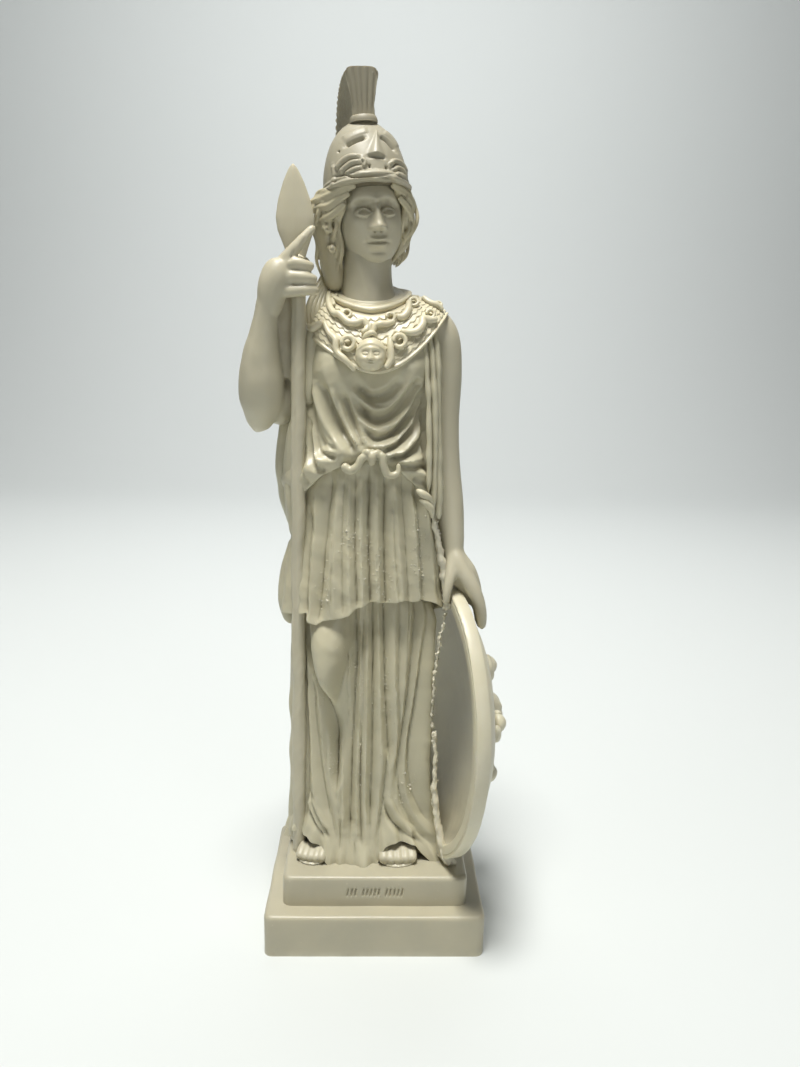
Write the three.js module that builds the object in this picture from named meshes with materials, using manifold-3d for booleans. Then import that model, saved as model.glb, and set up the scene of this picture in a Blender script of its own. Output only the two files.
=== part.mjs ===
// Statuette of Athena with helmet, spear, snake-edged aegis and shield, cast in one with its
// two-step plinth. Millimetres, +Z up. The figure faces -Y, and the origin is the centre of
// the plinth's underside.
import * as THREE from 'three';
import { mergeVertices } from 'three/addons/utils/BufferGeometryUtils.js';
import Module from 'manifold-3d';

// Whole casting, from the plinth's underside to the top of the crest
const HEIGHT = 260;

// Plinth
const PLINTH_WIDTH = 68;
const PLINTH_DEPTH = 53.5;
const LOWER_STEP_HEIGHT = 13.4;
const UPPER_STEP_HEIGHT = 9.8;
const LEDGE_SIDE = 5.3;
const LEDGE_FRONT = 5.7;
const STEP_CORNER = 3;
const STEP_EDGE = 1.4;

// Strokes in the place of the inscription, on the front of the upper step
const STROKE_GROUPS = 5;
const STROKE_ROW_LENGTH = 17.5;
const STROKE_HEIGHT = 2.7;
const STROKE_WIDTH = 0.6;
const STROKE_DEPTH = 0.4;

// How far the figure's forms run into the plinth
const SINK = 1;

// Spear
const SHAFT_RADIUS = 2.2;
const SHAFT_LENGTH = 186;
const SOCKET_DEPTH = 3;
const BLADE_WIDTH = 10.8;
const BLADE_LENGTH = 27;
const BLADE_THICKNESS = 3.4;

// Shield, an upright dish turned a little outwards
const SHIELD_HEIGHT = 91;
const SHIELD_DEPTH = 77;
const SHIELD_RIM = 4.4;
const SHIELD_BAND = 5;
const SHIELD_DOME = 10.5;
const SHIELD_WALL = 4;
const SHIELD_TURN = 15;
const BOSS_RADIUS = 8.5;
const BOSS_HEIGHT = 9.4;
const RELIEF_COUNT = 7;
const RELIEF_RING = 22;
const RELIEF_START = 27;
const RELIEF_SIZE = 3.6;

// The figure's forms are given in millimetres at this height, and MM keeps their proportions.
const CARVED_HEIGHT = 236.8;
const PLINTH_TOP = LOWER_STEP_HEIGHT + UPPER_STEP_HEIGHT;
const MM = (HEIGHT - PLINTH_TOP) / CARVED_HEIGHT;
const SECTION_POWER = 2.35;
const WELD = 1e-4;

const { sin, cos, abs, sign, sqrt, exp, min, max, PI } = Math;
const { lerp, smoothstep, degToRad } = THREE.MathUtils;
const bell = (x, middle, width) => exp(-(((x - middle) / width) ** 2));

const wasm = await Module();
wasm.setup();

// A closed geometry as a solid: only positions are kept, so that shared corners merge.
function solid(geometry) {
  geometry.deleteAttribute('normal');
  geometry.deleteAttribute('uv');
  const merged = mergeVertices(geometry, WELD);
  return new wasm.Manifold(new wasm.Mesh({
    numProp: 3,
    vertProperties: Float32Array.from(merged.attributes.position.array),
    triVerts: Uint32Array.from(merged.index.array),
  }));
}

function movePoints(geometry, place) {
  const points = geometry.attributes.position;
  for (let i = 0; i < points.count; i += 1) {
    const p = place(new THREE.Vector3().fromBufferAttribute(points, i));
    points.setXYZ(i, p.x, p.y, p.z);
  }
  return geometry;
}

// A form of the figure: its points, in the figure's millimetres above the plinth's top, as a solid.
function form(geometry, place) {
  return solid(movePoints(geometry, (p) => {
    const q = place(p);
    return new THREE.Vector3(q.x * MM, q.y * MM, q.z * MM + PLINTH_TOP);
  }));
}

const point = (x, y, z) => new THREE.Vector3(x, y, z);

// A column of rings. place(angle, t, share) gives a point at angle, measured from the front
// towards +X, at t from the lowest ring to the highest; share is 0 at the middle of an end.
function loft(sides, rows, place) {
  return form(new THREE.CylinderGeometry(1, 1, 1, sides, rows), (p) => {
    const share = Math.round(Math.hypot(p.x, p.z));
    const step = Math.round((Math.atan2(p.x, p.z) / (2 * PI)) * sides);
    return place((step / sides) * 2 * PI, p.y + 0.5, share, step);
  });
}

// A round limb along a smooth curve through points; radii are spread evenly along it, and the
// last share of each end is rounded off.
function limb(points, radii, sides = 5, rows = 4, round = 0.12) {
  const curve = new THREE.CatmullRomCurve3(points, false, 'centripetal');
  const frames = curve.computeFrenetFrames(rows);
  return form(new THREE.CylinderGeometry(1, 1, 1, sides, rows), (p) => {
    const row = Math.round((p.y + 0.5) * rows);
    const t = row / rows;
    const place = t * (radii.length - 1);
    const low = min(Math.floor(place), radii.length - 2);
    const ends = min(1, min(t, 1 - t) / round);
    const rounding = sqrt(0.12 + 0.88 * ends * (2 - ends));
    const radius = lerp(radii[low], radii[low + 1], place - low) * rounding;
    return curve.getPoint(t)
      .addScaledVector(frames.normals[row], p.x * radius)
      .addScaledVector(frames.binormals[row], -p.z * radius);
  });
}

// A ball stretched to three half sizes, turned about Z by turn degrees.
function ball(centre, sizes, turn = 0, across = 9, down = 6) {
  return form(new THREE.SphereGeometry(1, across, down), (p) => (
    point(p.x * sizes.x, -p.z * sizes.y, p.y * sizes.z)
      .applyAxisAngle(point(0, 0, 1), degToRad(turn))
      .add(centre)));
}

// The values in a table at one height, on smooth curves through its rows.
function at(table, z) {
  let i = 1;
  while (i < table.length - 1 && table[i][0] < z) i += 1;
  const t = smoothstep(z, table[i - 1][0], table[i][0]) * 0.4
    + 0.6 * min(1, max(0, (z - table[i - 1][0]) / (table[i][0] - table[i - 1][0])));
  return table[i].map((value, k) => lerp(table[i - 1][k], value, t));
}

// A point on the rounded outline of a body section: [z, middle, half width, front, back].
function outline([z, middle, half, front, back], angle, proud = 0) {
  const s = sin(angle);
  const c = cos(angle);
  const e = 2 / SECTION_POWER;
  return point(
    middle + sign(s) * abs(s) ** e * half + s * proud,
    (front + back) / 2 - sign(c) * abs(c) ** e * ((back - front) / 2) - c * proud,
    z,
  );
}

// Folds run down a tier of cloth. Each is [angle at the top, angle at the hem, depth], and the
// ring has the same number of points from one groove to the next, one of them in the groove.
const STEPS = 2;
function foldedAngle(folds, step, t) {
  const count = folds.length;
  const start = Math.floor(step / STEPS);
  const share = (step - start * STEPS) / STEPS;
  const groove = (i) => {
    const turn = Math.floor(i / count);
    const [top, hem, depth] = folds[i - turn * count];
    return { angle: lerp(hem, top, t) + turn * 360, depth };
  };
  const a = groove(start);
  const b = groove(start + 1);
  const cut = a.depth * max(0, 1 - share * 2) ** 1.4 + b.depth * max(0, share * 2 - 1) ** 1.4;
  return { angle: degToRad(lerp(a.angle, b.angle, share)), cut };
}

function drape(table, folds, rows, low, high, shape) {
  const half = (folds.length / 2) * STEPS;
  return loft(folds.length * STEPS, rows, (_, t, share, step) => {
    const z = lerp(low, high, t);
    const { angle, cut } = foldedAngle(folds, step + half, t);
    const flat = outline(at(table, z), angle);
    const { lift, drop } = shape(flat.x, z, angle, t);
    const p = outline(at(table, z), angle, lift - cut);
    p.z += drop;
    return share ? p : point(at(table, z)[1], 0, z);
  });
}

// Lower dress, from the plinth to under the overfold
const SKIRT = [
  [-SINK, -4.2, 25.0, -12.9, 17.0],
  [5, -4.5, 23.8, -12.2, 16.5],
  [16, -5.0, 22.4, -11.8, 15.3],
  [40, -5.2, 22.0, -12.2, 14.6],
  [68, -5.2, 22.3, -13.0, 15.0],
  [92, -4.6, 22.4, -12.6, 15.5],
];
const SKIRT_FOLDS = [
  [-178, -178, 1.5], [-160, -158, 1.2], [-141, -140, 1.6], [-122, -120, 1.2], [-100, -98, 1.4],
  [-76, -74, 1.2], [-49, -42, 2.2], [-13, -12, 2.0], [-3, -3, 0.7], [6, 7, 1.6],
  [17, 24, 1.8], [33, 38, 1.0], [47, 50, 1.4], [66, 66, 1.3], [86, 88, 1.2],
  [108, 108, 1.5], [129, 130, 1.2], [152, 154, 1.5],
];
const KNEE = { x: -14, z: 72, lift: 3.2 };
const dress = drape(SKIRT, SKIRT_FOLDS, 7, -SINK, 92, (x, z, angle) => {
  const facing = max(0, cos(angle));
  const leg = KNEE.lift * bell(x, KNEE.x, 6.5) * (z > KNEE.z ? 1 : bell(z, KNEE.z, 16));
  const hollow = -2.2 * bell(x, -13.5, 6) * bell(z, 36, 20);
  const standing = 1.6 * bell(x, 7, 7) * smoothstep(z, 10, 60);
  const flare = 2.2 * (1 - smoothstep(z, 0, 12)) * (0.5 + 0.5 * cos(angle * 9));
  return { lift: facing * (leg + hollow + standing) + flare * 0.5, drop: 0 };
});

// Overfold, from its hem above the knee to the belt
const OVERFOLD = [
  [79, -5.4, 25.6, -16.4, 17.6],
  [92, -5.2, 24.6, -15.6, 17.2],
  [106, -4.8, 22.8, -14.2, 16.2],
  [118, -4.4, 20.8, -12.8, 14.8],
  [128, -3.8, 18.2, -11.6, 13.4],
  [134, -3.4, 17.0, -11.0, 12.8],
];
const OVERFOLD_FOLDS = [
  [-176, -176, 1.5], [-157, -156, 1.2], [-137, -136, 1.6], [-115, -114, 1.4], [-90, -88, 1.4],
  [-66, -52, 1.1], [-38, -41, 1.9], [-22, -17, 1.1], [-11, -3, 1.0], [0, 3, 1.6],
  [15, 17, 1.6], [32, 35, 1.4], [48, 51, 1.3], [62, 68, 1.2], [84, 86, 1.1],
  [104, 104, 1.4], [124, 123, 1.2], [144, 143, 1.6], [164, 164, 1.2],
];
const hemDrop = (x) => 8.5 * smoothstep(x, -21, 8) - 5 * smoothstep(x, 9, 22);
const overfold = drape(OVERFOLD, OVERFOLD_FOLDS, 4, 79, 134, (x, z, angle, t) => ({
  lift: 0.5 * (1 - t) * cos(angle * 11),
  drop: hemDrop(x) * (1 - t) ** 2 * (cos(angle) > 0 ? 1 : 0.7),
}));

// Blouse, from the pouch that hangs over the belt to the neck. Its rows hang in swags between
// the breasts, [height at the sides, height in the middle, how proud], and long folds run down
// both sides.
const BLOUSE = [
  [112, -5.0, 20.4, -10.6, 13.4],
  [121, -6.6, 24.4, -13.4, 15.4],
  [131, -6.2, 23.6, -13.6, 15.4],
  [141, -5.2, 22.2, -13.0, 14.8],
  [152, -3.6, 20.6, -13.2, 14.0],
  [163, -2.9, 19.4, -12.4, 13.2],
  [170, -2.9, 17.0, -10.4, 11.6],
  [175, -3.6, 11.5, -8.4, 9.4],
  [179, -4.4, 7.4, -6.6, 7.6],
];
const SWAGS = [
  [110, 126.2, 0], [121, 129, 0.6], [132, 131.4, -0.7], [141, 134.2, 0.8],
  [148, 137.2, -0.8], [153.5, 140.6, 0.9], [158, 144.8, -0.8], [162, 149.8, 0.9],
  [166, 156, -0.3], [171, 166, 0], [179, 179, 0],
];
const SWAG_SPAN = 11;
const bust = (x, z) => 2.0 * (bell(x, -15, 5.5) + bell(x, 7.5, 5.5)) * bell(z, 151, 8);
const blouse = loft(30, SWAGS.length - 1, (angle, t, share, step) => {
  const [sides, middle, proud] = SWAGS[Math.round(t * (SWAGS.length - 1))];
  const facing = max(0, cos(angle));
  const x = outline(at(BLOUSE, sides), angle).x;
  const away = smoothstep(abs(x + 1.5), 0, SWAG_SPAN + 2);
  const z = facing > 0 ? lerp(middle, sides, away) : sides;
  const swag = proud * (1 - smoothstep(abs(x + 1.5), SWAG_SPAN - 5, SWAG_SPAN));
  const beside = smoothstep(abs(x + 1.5), SWAG_SPAN - 3, SWAG_SPAN);
  const long = (step % 2 ? 0.6 : -0.8) * beside * sin(PI * t);
  const front = facing > 0 ? facing * bust(x, z) + swag : 0;
  const p = outline(at(BLOUSE, z), angle, front + long);
  return share ? p : point(at(BLOUSE, sides)[1], 0, sides);
});

// Side cloth that hangs behind the spear, from under the raised arm to the belt
const sideCloth = limb(
  [point(-22, 3, 158), point(-27, 4, 142), point(-27.5, 4.5, 126),
    point(-26.4, 4.5, 114), point(-24, 4, 104)],
  [4, 5, 5.4, 5, 3],
  7,
  5,
);

// Feet: each a wedge under the hem, its front edge scalloped into five toes
const FOOT = { half: 6.3, length: 11.5, heights: [-SINK, 1.3, 3.6, 7], widths: [1, 1, 0.86, 0.55] };
function foot(x, y, turn) {
  const side = FOOT.half / FOOT.length;
  return loft(20, 3, (angle, t, share, step) => {
    const row = Math.round(t * 3);
    const scallop = step % 2 ? 0.5 : -0.9;
    const toe = cos(angle) > 0.3 && row < 3 ? scallop : 0;
    const reach = FOOT.length * FOOT.widths[row] * share;
    const back = cos(angle) < 0 ? 0.7 : 1;
    return point(sin(angle) * reach * side, -cos(angle) * back * (reach * 0.62 + toe * share), 0)
      .applyAxisAngle(point(0, 0, 1), degToRad(turn))
      .add(point(x, y + row * 0.9, FOOT.heights[row]));
  });
}
const feet = [foot(-21, -7.6, -6), foot(7.2, -9.2, 8)];

// Neck, and the head in its own frame: turned to the figure's left and tilted a little
const neck = limb(
  [point(-4.2, 1.5, 166), point(-4.4, 0.4, 174), point(-4.6, -0.2, 181), point(-5.0, -0.6, 190)],
  [8.2, 7.4, 6.7, 6.9],
  10,
  4,
);
const HEAD = { place: point(-4.9, -1.2, 197), turn: 12, tilt: -5 };
const inHead = (x, y, z) => point(x, y, z)
  .applyAxisAngle(point(0, 1, 0), degToRad(HEAD.tilt))
  .applyAxisAngle(point(0, 0, 1), degToRad(HEAD.turn))
  .add(HEAD.place);

// A plain egg-shaped head; the face is on even thirds: brow, base of the nose, chin
const FACE = { halfWidth: 8.8, front: 10.2, back: 10.5, chin: 13.6, crown: 14 };
function skinDepth(x, z) {
  const eyes = -1.3 * (bell(x, -3.4, 2.1) + bell(x, 3.4, 2.1)) * bell(z, 1.2, 1.7);
  const cheeks = 0.5 * (bell(x, -4.4, 2.4) + bell(x, 4.4, 2.4)) * bell(z, -3.4, 3);
  const chin = 0.9 * bell(x, 0, 2.6) * bell(z, -11, 2);
  const brow = 0.4 * bell(z, 4.2, 1.8);
  return eyes + cheeks + chin + brow;
}
const skull = form(new THREE.SphereGeometry(1, 16, 13), (p) => {
  const jaw = p.y < 0 ? 1 - 0.3 * p.y * p.y : 1;
  const x = p.x * FACE.halfWidth * jaw;
  const z = p.y * (p.y < 0 ? FACE.chin : FACE.crown);
  const full = (1.02 - p.y * p.y) ** -0.22;
  const depth = p.z > 0 ? FACE.front * (1 - 0.08 * max(0, -p.y)) * full : FACE.back;
  const y = -p.z * depth - (p.z > 0 ? skinDepth(x, z) * p.z : 0);
  return inHead(x, y, z);
});
const nose = limb(
  [inHead(0, -9.2, 4.2), inHead(0, -10.6, 0.4), inHead(0, -12.2, -3), inHead(0, -10.8, -4.6)],
  [0.9, 0.95, 1.35, 1.5],
  5,
  4,
  0.15,
);
const mouth = [[-6.9, 8.9], [-8.3, 8.4]].map(([z, reach]) => limb(
  [inHead(-2.3, 1.2 - reach, z + 0.3), inHead(0, -reach, z), inHead(2.3, 1.2 - reach, z + 0.3)],
  [0.5, 0.85, 0.5],
  4,
  4,
  0.3,
));
const eyes = [-3.4, 3.4].map((x) => form(new THREE.SphereGeometry(1, 7, 4), (p) => (
  inHead(x + p.x * 1.8, -7.7 - 1.2 * p.z - 0.2 * abs(p.x), 1.2 + p.y * 1.0))));

// Hair: locks from the brow back over the ears, and a knot at the nape
const LOCKS = [
  [[-5.5, -8.4, 7.4], [-9.6, -5, 4.8], [-10.4, -3.4, -0.5], [-10.8, -1.4, -6], [-9.6, 1.4, -12]],
  [[-9, -5, 7], [-12.4, -3.2, 5.4], [-12, -2, 0.5], [-12.4, 0.5, -5.5], [-11, 2.5, -12.5]],
  [[-10, -1, 7], [-13.6, 1, 5.6], [-13, 2.5, -1], [-13.2, 4, -7.5], [-11, 5.5, -14.5]],
  [[5.5, -8.4, 7.2], [9, -5.2, 4.6], [9.4, -4, -0.5], [8.8, -2, -5.5], [7, 0.8, -10.5]],
  [[9, -5, 6.6], [10.6, -2.6, 4.4], [10.4, -1.6, -1], [9.6, 0.5, -6], [7.6, 3, -12]],
  [[9.4, 0, 6], [10.6, 2.5, 3], [10, 4, -3], [8.8, 5.5, -9], [6.4, 6.5, -14.5]],
];
const LOCK_RADII = [2.1, 2.4, 2.4, 2.3, 1.4];
const locks = LOCKS.map((path) => limb(path.map((p) => inHead(...p)), LOCK_RADII, 4, 4, 0.2));
const NAPE = { middle: point(-1, 5.5, -3), sizes: point(12.4, 9.6, 10.8) };
const TAIL_RADII = [4, 4.4, 3.6, 1.6];
const nape = [
  form(new THREE.SphereGeometry(1, 12, 8), (p) => (
    inHead(
      NAPE.middle.x + p.x * NAPE.sizes.x,
      NAPE.middle.y - p.z * NAPE.sizes.y,
      NAPE.middle.z + p.y * NAPE.sizes.z,
    ))),
  limb(
    [inHead(-9, 4, -4), inHead(-10.6, 5, -11), inHead(-10.8, 6, -18), inHead(-9, 7, -24)],
    [3.4, 3.3, 2.9, 1.8],
    6,
    4,
  ),
  ...[[-4, -4.5, -3, -3.5], [4, 4, 5, 4.5]].map((xs) => (
    limb(
      [inHead(xs[0], 12, -6), inHead(xs[1], 13, -16), inHead(xs[2], 14.5, -28), inHead(xs[3], 14, -37.5)],
      TAIL_RADII,
      6,
      5,
    ))),
];

// Helmet, pushed up off the face: a tall dome, its brim arched over the brow
const HELMET = { shift: -0.5, half: 12.1, front: 13.2, back: 13.6, brim: 6.2, top: 25.9 };
const brimLine = (angle) => HELMET.brim + 1.4 * cos(angle) - 9 * smoothstep(-cos(angle), 0.1, 0.95);
function onHelmet(angle, t, proud = 0) {
  const round = max(0.1, 1 - t ** 2.3) ** 0.5;
  const depth = cos(angle) > 0 ? HELMET.front * (1 - 0.25 * t) : HELMET.back;
  const z = lerp(brimLine(angle), HELMET.top + proud, t);
  return inHead(
    HELMET.shift + sin(angle) * (HELMET.half * round + proud),
    -cos(angle) * (depth * round + proud),
    z,
  );
}
// Rows of the helmet from the brim up, [height share, how proud]
const HELMET_ROWS = [
  [0, 0.5], [0.1, 0.8], [0.14, 0], [0.38, 0], [0.62, 0], [0.82, 0], [0.95, 0], [1, 0],
];
const helmet = loft(20, HELMET_ROWS.length - 1, (angle, t, share) => {
  const [height, proud] = HELMET_ROWS[Math.round(t * (HELMET_ROWS.length - 1))];
  return share ? onHelmet(angle, height, proud) : inHead(0, 0, t ? HELMET.top : HELMET.brim);
});
// Scrolls stand on the brow of the helmet, above its brim
const SCROLL = { angle: 0.42, height: 0.25, radius: 2, wire: 0.7 };
const scrolls = [-1, 1].map((side) => {
  const middle = onHelmet(side * SCROLL.angle, SCROLL.height, 0.4);
  return form(new THREE.TorusGeometry(SCROLL.radius, SCROLL.wire, 4, 7), (p) => (
    point(p.x, -p.z, p.y)
      .applyAxisAngle(point(0, 0, 1), degToRad(HEAD.turn) + side * SCROLL.angle)
      .add(middle)));
});
const noseGuard = limb(
  [onHelmet(0, 0.17, 0.3), onHelmet(0, 0.4, 0.7), onHelmet(0, 0.62, 0.4)],
  [1.6, 1.0, 0.5],
  4,
  3,
);
// The eye holes of the helmet, above the brow, sunk as slanted slots
const slots = [-1, 1].map((side) => {
  const a = onHelmet(side * 0.22, 0.5, 0.2);
  const b = onHelmet(side * 0.78, 0.66, 0.2);
  return limb([a, a.clone().lerp(b, 0.5), b], [0.7, 1.2, 0.9], 5, 3, 0.34);
});

// Crest: a fan of horsehair that stands on the dome and sweeps back and down to the nape, given
// in the head's middle plane by its foot and by its outer edge as [y, z]
const CREST = { foot: 2.2, top: 4.8 };
const crestLine = (line) => new THREE.CatmullRomCurve3(line.map(([y, z]) => point(0, y, z)));
const crestFoot = crestLine([[-3.4, 24.6], [3, 24], [8.6, 19.5], [12, 12], [13, 3]]);
const crestEdge = crestLine([[-4.6, 38.6], [3, 37.6], [10.5, 33.8], [16.4, 26], [18.6, 14], [17, 0]]);
const crest = form(new THREE.BoxGeometry(1, 1, 1, 2, 1, 7), (p) => {
  const out = p.y + 0.5;
  const q = crestFoot.getPoint(0.5 - p.z).lerp(crestEdge.getPoint(0.5 - p.z), out);
  return inHead(p.x * 2 * lerp(CREST.foot, CREST.top, out), q.y, q.z);
});
const crestRing = loft(10, 1, (angle, t, share) => (
  inHead(sin(angle) * 3.8 * share, -2.6 - cos(angle) * 3.4 * share, HELMET.top - 1.6 + 1.9 * t)));

// Aegis: a collar over the breast and shoulders, from a pointed border up to the neckline
const AEGIS_PROUD = 1.7;
function onAegis(angle, t, proud = 0) {
  const s = sin(angle);
  const c = cos(angle);
  const border = point(
    -2.7 + 20.4 * s,
    c > 0 ? -15.2 * c : -14.6 * c,
    153.4 + (14 + 3 * s) * abs(s) ** 1.8,
  );
  const collar = point(-4.6 + 9.8 * s, c > 0 ? -8.8 * c : -9.2 * c, 173 + 3.5 * (1 - c));
  const p = border.lerp(collar, t);
  const swell = AEGIS_PROUD * sin(PI * min(1, 0.15 + 0.85 * t)) + proud;
  return point(p.x + s * swell * 0.8, p.y - c * swell * 0.9, p.z + swell * 0.8 * abs(s));
}
// Rows of the aegis from its border up to its rolled neckline, [height share, how proud]
const AEGIS_ROWS = [[0, 0.2], [0.3, 0], [0.6, 0], [0.85, 0], [0.9, 1.1], [0.97, 1.1], [1.02, 0]];
const aegis = loft(22, AEGIS_ROWS.length - 1, (angle, t, share) => {
  const [height, proud] = AEGIS_ROWS[Math.round(t * (AEGIS_ROWS.length - 1))];
  return share ? onAegis(angle, height, proud) : point(-3.5, 0, lerp(162, 176, t));
});

// Snakes: loops on the aegis and its border, given as [angle, height share]
const snake = (path, wire, rows = 6) => limb(
  path.map(([a, t]) => onAegis(degToRad(a), t, 0.9)), [wire * 0.7, wire, wire, wire * 0.8], 4, rows, 0.1,
);
const SNAKE_WIRE = 1.15;
const snakes = [
  snake([[-62, 0.85], [-58, 0.6], [-44, 0.42], [-28, 0.4], [-14, 0.42]], SNAKE_WIRE),
  snake([[54, 0.75], [46, 0.6], [40, 0.78], [32, 0.62], [22, 0.52], [12, 0.46]], SNAKE_WIRE),
  snake([[66, 0.32], [56, 0.45], [46, 0.36], [34, 0.3], [24, 0.34], [17, 0.24]], SNAKE_WIRE),
  snake([[-72, 0.02], [-50, 0.03], [-34, 0.06], [-22, 0.1]], SNAKE_WIRE),
  snake([[20, 0.08], [36, 0.03], [54, 0.02], [76, 0.03]], SNAKE_WIRE),
];
const ringOn = (a, t, r) => {
  const middle = onAegis(degToRad(a), t, 0.9);
  return form(new THREE.TorusGeometry(r, SNAKE_WIRE * 0.85, 4, 7), (p) => (
    point(p.x, -p.z, p.y).applyAxisAngle(point(0, 0, 1), degToRad(a * 0.7)).add(middle)));
};
const rings = [ringOn(-17, 0.26, 1.9), ringOn(21, 0.26, 1.9), ringOn(15, 0.7, 1.5)];

// Mask at the point of the aegis: a small round face of plain forms
const MASK = point(-4.2, -16.2, 158.6);
const onMask = (...path) => path.map(([x, y, z]) => point(x, y, z).add(MASK));
const mask = [
  ball(MASK, point(4.1, 2.2, 5.0)),
  limb(onMask([0, -1.9, 1.2], [0, -2.7, -1]), [0.4, 0.8], 4, 2),
  ...[-1, 1].map((side) => (
    limb(onMask([0, -1.2, 4.4], [side * 3, -0.8, 3.4], [side * 4.2, 0, 0.4], [side * 3.2, 0, -3.4]),
      [0.9, 1.2, 1.1, 0.8], 4, 5))),
  limb(onMask([-3, 1.6, 4.2], [0, 0.9, 5.5], [3, 1.6, 4.2]), [1.1, 1.7, 1.1], 4, 4),
];

// Belt: the ends of two snakes knotted at the waist
const KNOT = point(-3, -14.6, 131);
const belt = [
  limb(
    [KNOT, point(-6, -15, 128.4), point(-8.8, -14.6, 126.4), point(-11.6, -13.8, 127.6)],
    [1.4, 1.2, 1.2, 1.3],
    5,
    5,
  ),
  limb(
    [KNOT, point(-0.4, -15.4, 129.8), point(0.6, -15.2, 126.4), point(2.6, -14.6, 124.6),
      point(4.8, -14, 126.4), point(4.2, -13.6, 129)],
    [1.4, 1.2, 1.2, 1.2, 1.1, 1.1],
    5,
    7,
  ),
  limb(
    [point(-5.4, -14.8, 131.6), point(-3, -16, 129.4), point(-1.2, -14.8, 131.2)],
    [1.1, 1.7, 1.1],
    5,
    3,
  ),
];

// Spear: a shaft from the plinth to the hand, and a leaf-shaped blade above the hand
const SHAFT = { x: -25.2, y: -9, top: SHAFT_LENGTH };
const shaft = limb(
  [-SINK, SHAFT.top / 2, SHAFT.top].map((z) => point(SHAFT.x, SHAFT.y, z)),
  [SHAFT_RADIUS / MM, SHAFT_RADIUS / MM],
  8,
  2,
  0.004,
);
const BLADE = {
  x: SHAFT.x - 0.3, y: SHAFT.y + 0.6, low: SHAFT.top - SOCKET_DEPTH, lean: -1.6, belly: 0.47,
};
const blade = loft(8, 7, (angle, t, share) => {
  const above = (t - BLADE.belly) / (1 - BLADE.belly);
  const leaf = above < 0
    ? lerp(0.34, 1, sin(((t / BLADE.belly) * PI) / 2))
    : max(0.06, 1 - above ** 1.6);
  const x = sin(angle) * (BLADE_WIDTH / 2) * leaf * share;
  const y = -cos(angle) * (BLADE_THICKNESS / 2) * leaf ** 0.6 * share;
  return point(
    BLADE.x + BLADE.lean * (t - 0.5) + x / MM,
    BLADE.y + y / MM,
    BLADE.low + (t * BLADE_LENGTH) / MM,
  );
});

// Right arm, raised: shoulder, elbow, wrist, then the hand closed on the spear
const rightArm = [
  limb(
    [point(-13, 2.5, 168), point(-21, 3, 161), point(-29, 0.5, 150), point(-35.5, -3.5, 141)],
    [6.2, 6.2, 5.9, 5.4],
    8,
    5,
  ),
  limb(
    [point(-35.4, -3.4, 136.2), point(-35.3, -5.4, 142), point(-34.8, -8, 151),
      point(-33.6, -10.4, 163), point(-32.9, -11.8, 172), point(-32.6, -12, 177)],
    [4.9, 6.3, 6.5, 5.2, 3.7, 3.8],
    9,
    7,
    0.16,
  ),
];
// The hand stands where the shaft passes through it: fingers are given from the shaft's axis.
const onShaft = (...path) => path.map(([x, y, z]) => point(SHAFT.x + x, SHAFT.y + y, z));
const FINGER_RADII = [2.2, 2.1, 1.9, 1.6];
const FINGERS = [
  [[-6.6, -3.6, 179.6], [-4.6, -4.8, 184.6], [-0.6, -4.8, 189], [4, -3.6, 193.6]],
  [[-6.8, -3.4, 180.2], [-4.2, -6.6, 182.2], [0.6, -6.6, 182.8], [3.8, -3.8, 182.2]],
  [[-8.6, -3.2, 177.2], [-4.8, -7, 178.6], [0.6, -6.8, 179], [4.4, -3.6, 178.6]],
  [[-9.2, -3, 173.6], [-5, -6.8, 174.8], [0.2, -6.4, 175], [3.8, -3.4, 174.8]],
];
const rightHand = [
  ball(point(-30.6, -11.4, 177.6), point(4.6, 4.2, 6.2)),
  ...FINGERS.map((path) => limb(onShaft(...path), FINGER_RADII)),
  limb(onShaft([-6.4, 0, 176], [-2.9, 3, 180], [0.6, 3, 184]), [2.4, 2.1, 1.6]),
];
// A web of flash is left between the forearm and the shaft, below the hand
const FLASH = { middle: point(-27.6, -9.6, 166), width: 6.4, thickness: 1.6, height: 14 };
const flash = form(new THREE.BoxGeometry(FLASH.width, FLASH.thickness, FLASH.height, 2, 1, 3), (p) => (
  p.add(FLASH.middle)));

// Left arm, hanging. The hand lies on the top of the shield, and the arm reaches down to it.
const GRIP = point(24.6, -6, (SHIELD_HEIGHT - SINK) / MM);
const onGrip = (...path) => path.map(([x, y, z]) => point(x, y, z).add(GRIP));
const leftArm = limb(
  [point(11.5, 1.4, 170), point(16.4, 1.8, 164.5), point(18.2, 2, 154), point(18.5, 2.2, 140),
    point(19, 1.6, 127), point(20.2, -0.6, 114), point(21.4, -4, 101), ...onGrip([-2.4, 0, 4])],
  [5.4, 5.7, 5.2, 4.6, 4.5, 4.3, 3.4, 3.4],
  9,
  11,
  0.08,
);
const FINGER_STEP = 3.7;
const FINGER_REACH = [0, -1.6, -1.2, 0.8];
const leftHand = [
  ball(GRIP.clone().add(point(0, 0, 1.8)), point(4.6, 6.2, 5), 10),
  limb(onGrip([-3.2, -3.6, 5], [-4, -6, 0.5], [-3.6, -6.6, -5]), [2.1, 1.8, 1.4]),
  ...FINGER_REACH.map((reach, i) => {
    const y = i * FINGER_STEP - 5.2;
    const path = onGrip([-0.2, y + 1, 5], [2.8, y, 3], [5.4, y - 0.6, -3.5], [5.6, y - 0.4, reach - 11.6]);
    return limb(path, [2.2, 2.2, 2, 1.4]);
  }),
];

// Shield: a dish on edge, its hollow side to the figure, a flat band round its rim, and a boss
// with a ring of raised scrolls on its outer face
const SHIELD_PLACE = point(17.8, 0.4, SHIELD_HEIGHT / 2 - SINK * 1.2);
const SHIELD_R = SHIELD_HEIGHT / 2;
const FLATTEN = SHIELD_DEPTH / SHIELD_HEIGHT;
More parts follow.
